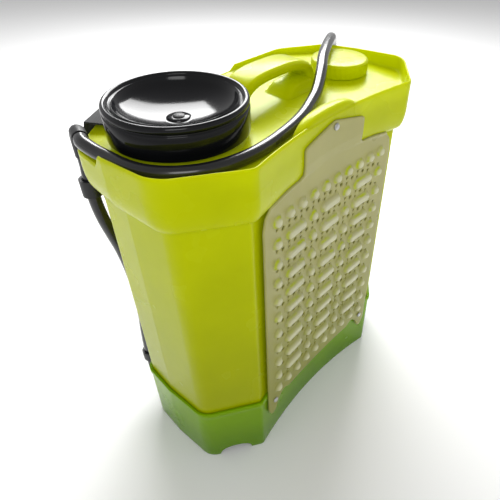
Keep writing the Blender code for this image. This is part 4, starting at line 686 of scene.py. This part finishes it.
def baseMesh():
    b = baseSet
    top = b["height"]
    outer = [(-0.9, 0.0), (-0.3, 0.5), (0.0, 1.5)]
    rings = [planRing(g, lambda x, y, k=k: footHeight(x, y) + k) for g, k in outer]
    rings += [planRing(0.0, lambda x, y, z=z: np.maximum(z, footHeight(x, y) + 2))
              for z in (8, 16, 30, 50, 70, 90)]
    rings += [planRing(g, z) for g, z in ((0.0, 95.5), (0.2, 96.6), (0.9, 97.6), (1.4, 98.6), (1.5, 99.8),
                                          (1.5, top - 1.6), (1.2, top - 0.6), (0.5, top), (-1.6, top),
                                          (-2.3, top - 0.4), (-2.6, top - 1.2), (-2.6, b["shelf"]))]
    rings += [planRing(g, z) for g, z in ((-12, b["shelf"]), (-12, b["shelf"] - 4), (-4, b["shelf"] - 4))]
    rings += [planRing(-4.0, lambda x, y, z=z: np.maximum(z, footHeight(x, y) + 2)) for z in (60, 30, 16, 8)]
    rings += [planRing(-4.0, lambda x, y: footHeight(x, y) + 0.6), planRing(-3.6, footHeight)]
    return gridMesh("baseShell", np.array(rings) * mm, closeU=True, closeV=True)


base = linkPiece("baseShell", baseMesh(), basePlastic, smoothAngle=50)
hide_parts("base")
print("base made")

padSet = {"pitchX": 21.7, "pitchZ": 28.1, "columns": 10, "rows": 11, "topRow": 386.0, "thick": 2.5,
          "bump": 5.0, "front": 114.0, "sag": 4.5, "cell": 1.6, "screwZ": 452.5}


def padOutline():
    p = padSet
    half = p["pitchX"] * (p["columns"] - 1) / 2 + 21
    top = p["topRow"] + 30
    bottomRow = p["topRow"] - p["pitchZ"] * (p["rows"] - 1)
    low, leg = bottomRow - 26, bottomRow - 50
    right = [(0, 459, 2), (52, 447, 4), (52, top + 2, 3), (58, top - 2, 3), (80, top - 3, 4),
             (half - 14, top - 7, 8), (half - 4, top - 17, 10), (half, top - 32, 10), (half, leg + 14, 12),
             (half - 5, leg + 2, 5), (half - 10, leg, 5), (half - 15, leg + 4, 5), (half - 22, leg + 20, 8),
             (half - 34, low + 9, 8), (half - 46, low, 6)]
    corners = right + [(-x, z, r) for x, z, r in reversed(right) if x]
    return roundedProfile(corners[::-1], 5)


# the pad keeps its own shallow curve until the collar pushes it out
def padSurface(x, z):
    stepOut = np.interp(z, [401, 407, 416, 428], [-3, 4, 8, 9])
    own = -padSet["front"] + padSet["sag"] * (1 - (x / 109) ** 2)
    return np.minimum(own, frontFace(x, stepOut) - 0.8 - padSet["thick"])


def padBumps():
    p = padSet
    spots = []
    for row in range(p["rows"]):
        column = 0
        while column < p["columns"]:
            bar = 0 < row < p["rows"] - 1 and column % 3 == 1 and column + 1 < p["columns"]
            shift = (p["columns"] - 1) / 2 - (0.5 if bar else 0)
            spots.append(((column - shift) * p["pitchX"], p["topRow"] - row * p["pitchZ"],
                          p["pitchX"] / 2 if bar else 0.0))
            column += 2 if bar else 1
    return spots


# vent holes stand on the diagonals between the bumps, with their radius
def padHoles():
    p = padSet
    spots = []
    for row in range(p["rows"] - 1):
        for column in range(p["columns"] - 1):
            x = (column - (p["columns"] - 2) / 2) * p["pitchX"]
            z = p["topRow"] - (row + 0.5) * p["pitchZ"]
            spots += [(x, z, 2.6), (x - p["pitchX"] / 2, z + 3.5, 2.0), (x + p["pitchX"] / 2, z - 3.5, 2.0)]
    return spots + [(0, p["screwZ"], 2.2), (-105, 83, 2.2), (105, 83, 2.2)]


# for each point, the closest place on a closed outline and whether the point lies inside
def nearestOnOutline(points, outline):
    a, b = outline, np.roll(outline, -1, 0)
    best = np.full(len(points), 1e9)
    place = points.copy()
    inside = np.zeros(len(points), dtype=bool)
    for p, q in zip(a, b):
        edge = q - p
        share = np.clip(((points - p) @ edge) / max(edge @ edge, 1e-9), 0, 1)
        spot = p + share[:, None] * edge
        gap = np.linalg.norm(points - spot, axis=1)
        closer = gap < best
        best = np.where(closer, gap, best)
        place[closer] = spot[closer]
        crosses = (p[1] > points[:, 1]) != (q[1] > points[:, 1])
        cut = p[0] + (points[:, 1] - p[1]) / ((q[1] - p[1]) or 1e-9) * (q[0] - p[0])
        inside ^= crosses & (points[:, 0] < cut)
    return best, place, inside


def padMesh():
    p = padSet
    outline = padOutline()
    cell = p["cell"]
    x = np.arange(outline[:, 0].min(), outline[:, 0].max() + cell, cell)
    z = np.arange(outline[:, 1].min(), outline[:, 1].max() + cell, cell)
    gx, gz = np.meshgrid(x, z)
    points = np.column_stack([gx.ravel(), gz.ravel()])
    gap, place, inside = nearestOnOutline(points, outline)
    centres = np.column_stack([(gx[:-1, :-1] + cell / 2).ravel(), (gz[:-1, :-1] + cell / 2).ravel()])
    keep = nearestOnOutline(centres, outline)[2]
    holes = padHoles()
    for hx, hz, radius in holes:
        keep &= np.hypot(centres[:, 0] - hx, centres[:, 1] - hz) > radius
    cells = np.arange(len(points)).reshape(gx.shape)
    quads = np.stack([cells[:-1, :-1], cells[:-1, 1:], cells[1:, 1:], cells[1:, :-1]], -1)
    quads = quads.reshape(-1, 4)[keep]
    counts = np.bincount(quads.ravel(), minlength=len(points))
    border = (counts > 0) & (counts < 4)
    snap = border & (gap < cell * 1.1)
    points[snap] = place[snap]
    for hx, hz, radius in holes:
        rel = points - (hx, hz)
        far = np.hypot(rel[:, 0], rel[:, 1])
        ring = border & (far < radius + cell * 1.1) & (far > 1e-6) & ~snap
        points[ring] = (hx, hz) + rel[ring] / far[ring, None] * radius
    height = np.zeros(len(points))
    for bx, bz, reach in padBumps():
        dx = np.maximum(np.abs(points[:, 0] - bx) - reach, 0)
        far = np.hypot(dx, points[:, 1] - bz)
        height = np.maximum(height, p["bump"] * (1 - between(far, 3.4, 7.6)))
    y = padSurface(points[:, 0], points[:, 1]) - height
    used = np.unique(quads)
    renumber = np.zeros(len(points), dtype=int)
    renumber[used] = np.arange(len(used))
    mesh = bpy.data.meshes.new("padShell")
    solid = np.column_stack([points[:, 0], y, points[:, 1]])[used] * mm
    mesh.from_pydata(solid.tolist(), [], renumber[quads].tolist())
    mesh.update()
    rise = mesh.attributes.new("bumpRise", "FLOAT", "POINT")
    rise.data.foreach_set("value", (height[used] / p["bump"]).astype(np.float32))
    return mesh


pad = linkPiece("padShell", padMesh(), padPlastic)
thickness = pad.modifiers.new("thickness", "SOLIDIFY")
thickness.thickness = padSet["thick"] * mm
thickness.offset = -1.0
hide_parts("back_pad")
print("pad made")


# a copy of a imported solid, merged and cleaned, with softened edges
def polish(node, material, width=0.5, angle=32):
    source = frame["nodes"][node]
    work = bmesh.new()
    work.from_mesh(source.data)
    bmesh.ops.remove_doubles(work, verts=work.verts, dist=1e-6)
    bmesh.ops.dissolve_limit(work, angle_limit=math.radians(0.6), verts=work.verts, edges=work.edges)
    mesh = bpy.data.meshes.new(node + "Look")
    work.to_mesh(mesh)
    work.free()
    body = source["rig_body"]
    piece = linkPiece(node + "Look", mesh, material, body, angle)
    if width:
        soften = piece.modifiers.new("soften", "BEVEL")
        soften.width = width * mm
        soften.segments = 2
        soften.limit_method = "ANGLE"
        soften.angle_limit = math.radians(angle)
        soften.harden_normals = True
    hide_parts(node)


slotMaterials = {"tank_plastic": tankPlastic, "base_plastic": basePlastic, "pad_plastic": padPlastic,
                 "lid_plastic": lidPlastic, "black_plastic": blackPlastic, "red_plastic": redPlastic,
                 "hose_rubber": hoseRubber, "seal_rubber": sealRubber, "webbing": webbing,
                 "steel": steelFinish, "brass": brassFinish, "lens_plastic": lensPlastic,
                 "mesh_plastic": meshPlastic}
made = {"tank", "filler_lid", "port_cap", "base", "back_pad", "riser_hose", "spray_hose"}
polished = ["gun_body", "gun_trigger", "trigger_lock", "gun_clip", "gun_inlet_nut", "gun_outlet_nut",
            "control_panel", "switch_housing", "rocker", "pressure_knob", "socket_cover", "rim_elbow",
            "riser_clip", "riser_nut", "outlet_fitting", "strap_plate_left", "strap_plate_right",
            "strap_slider_left", "strap_slider_right", "strap_anchor_left", "strap_anchor_right",
            "pad_screw_top", "pad_screw_left", "pad_screw_right", "vent_valve",
            "strap_left", "strap_right", "strap_tail_left", "strap_tail_right", "outlet_lock_nut",
            "charge_socket", "charge_meter", "cover_screw_1", "cover_screw_2", "cover_screw_3",
            "cover_screw_4", "base_cover"]
for entry in frame["record"]["subparts"]:
    node, slotName = entry["node"], entry["material_slot"]
    if node in made:
        continue
    if node in polished:
        polish(node, slotMaterials[slotName], 0.3 if "screw" in node or node == "vent_valve" else 0.5)
        continue
    cadNode = frame["nodes"][node]
    cadNode.data.materials.clear()
    cadNode.data.materials.append(slotMaterials[slotName])
print("hardware finished")

# floor and light
floorMesh = bpy.data.meshes.new("floor")
floorMesh.from_pydata([(-6, -6, 0), (6, -6, 0), (6, 6, 0), (-6, 6, 0)], [], [(0, 1, 2, 3)])
floor = bpy.data.objects.new("floor", floorMesh)
bpy.context.scene.collection.objects.link(floor)
floorPaint = bpy.data.materials.new("floorPaint")
floorPaint.use_nodes = True
floorPaint.node_tree.nodes["Principled BSDF"].inputs["Base Color"].default_value = (0.95, 0.95, 0.95, 1)
floorPaint.node_tree.nodes["Principled BSDF"].inputs["Roughness"].default_value = 0.9
floorMesh.materials.append(floorPaint)

world = bpy.data.worlds.new("world")
bpy.context.scene.world = world
world.use_nodes = True
skyTree = world.node_tree
skyCoords = skyTree.nodes.new("ShaderNodeTexCoord")
skyParts = skyTree.nodes.new("ShaderNodeSeparateXYZ")
skyRamp = addNode(skyTree, "ShaderNodeMapRange",
                  {"From Min": 0.1, "From Max": 0.95, "To Min": 0.62, "To Max": 0.4},
                  interpolation_type="SMOOTHSTEP")
skyTree.links.new(skyCoords.outputs["Generated"], skyParts.inputs[0])
skyTree.links.new(skyParts.outputs["Z"], skyRamp.inputs["Value"])
skyTree.links.new(skyRamp.outputs[0], skyTree.nodes["Background"].inputs["Strength"])
skyTree.nodes["Background"].inputs["Color"].default_value = (1.0, 1.0, 1.0, 1)


def softLight(name, place, target, size, power):
    light = bpy.data.lights.new(name, "AREA")
    light.shape = "RECTANGLE"
    light.size, light.size_y = size
    light.energy = power
    lamp = bpy.data.objects.new(name, light)
    bpy.context.scene.collection.objects.link(lamp)
    lamp.location = place
    lamp.rotation_mode = "QUATERNION"
    lamp.rotation_quaternion = (Vector(target) - Vector(place)).to_track_quat("-Z", "Y")


softLight("windowLight", (1.1, 1.0, 1.5), (0, 0, 0.35), (1.4, 0.9), 50)
softLight("fillLight", (-1.2, -1.1, 1.7), (0, 0, 0.25), (0.9, 0.7), 9)
print("stage set")

bpy.context.view_layer.update()
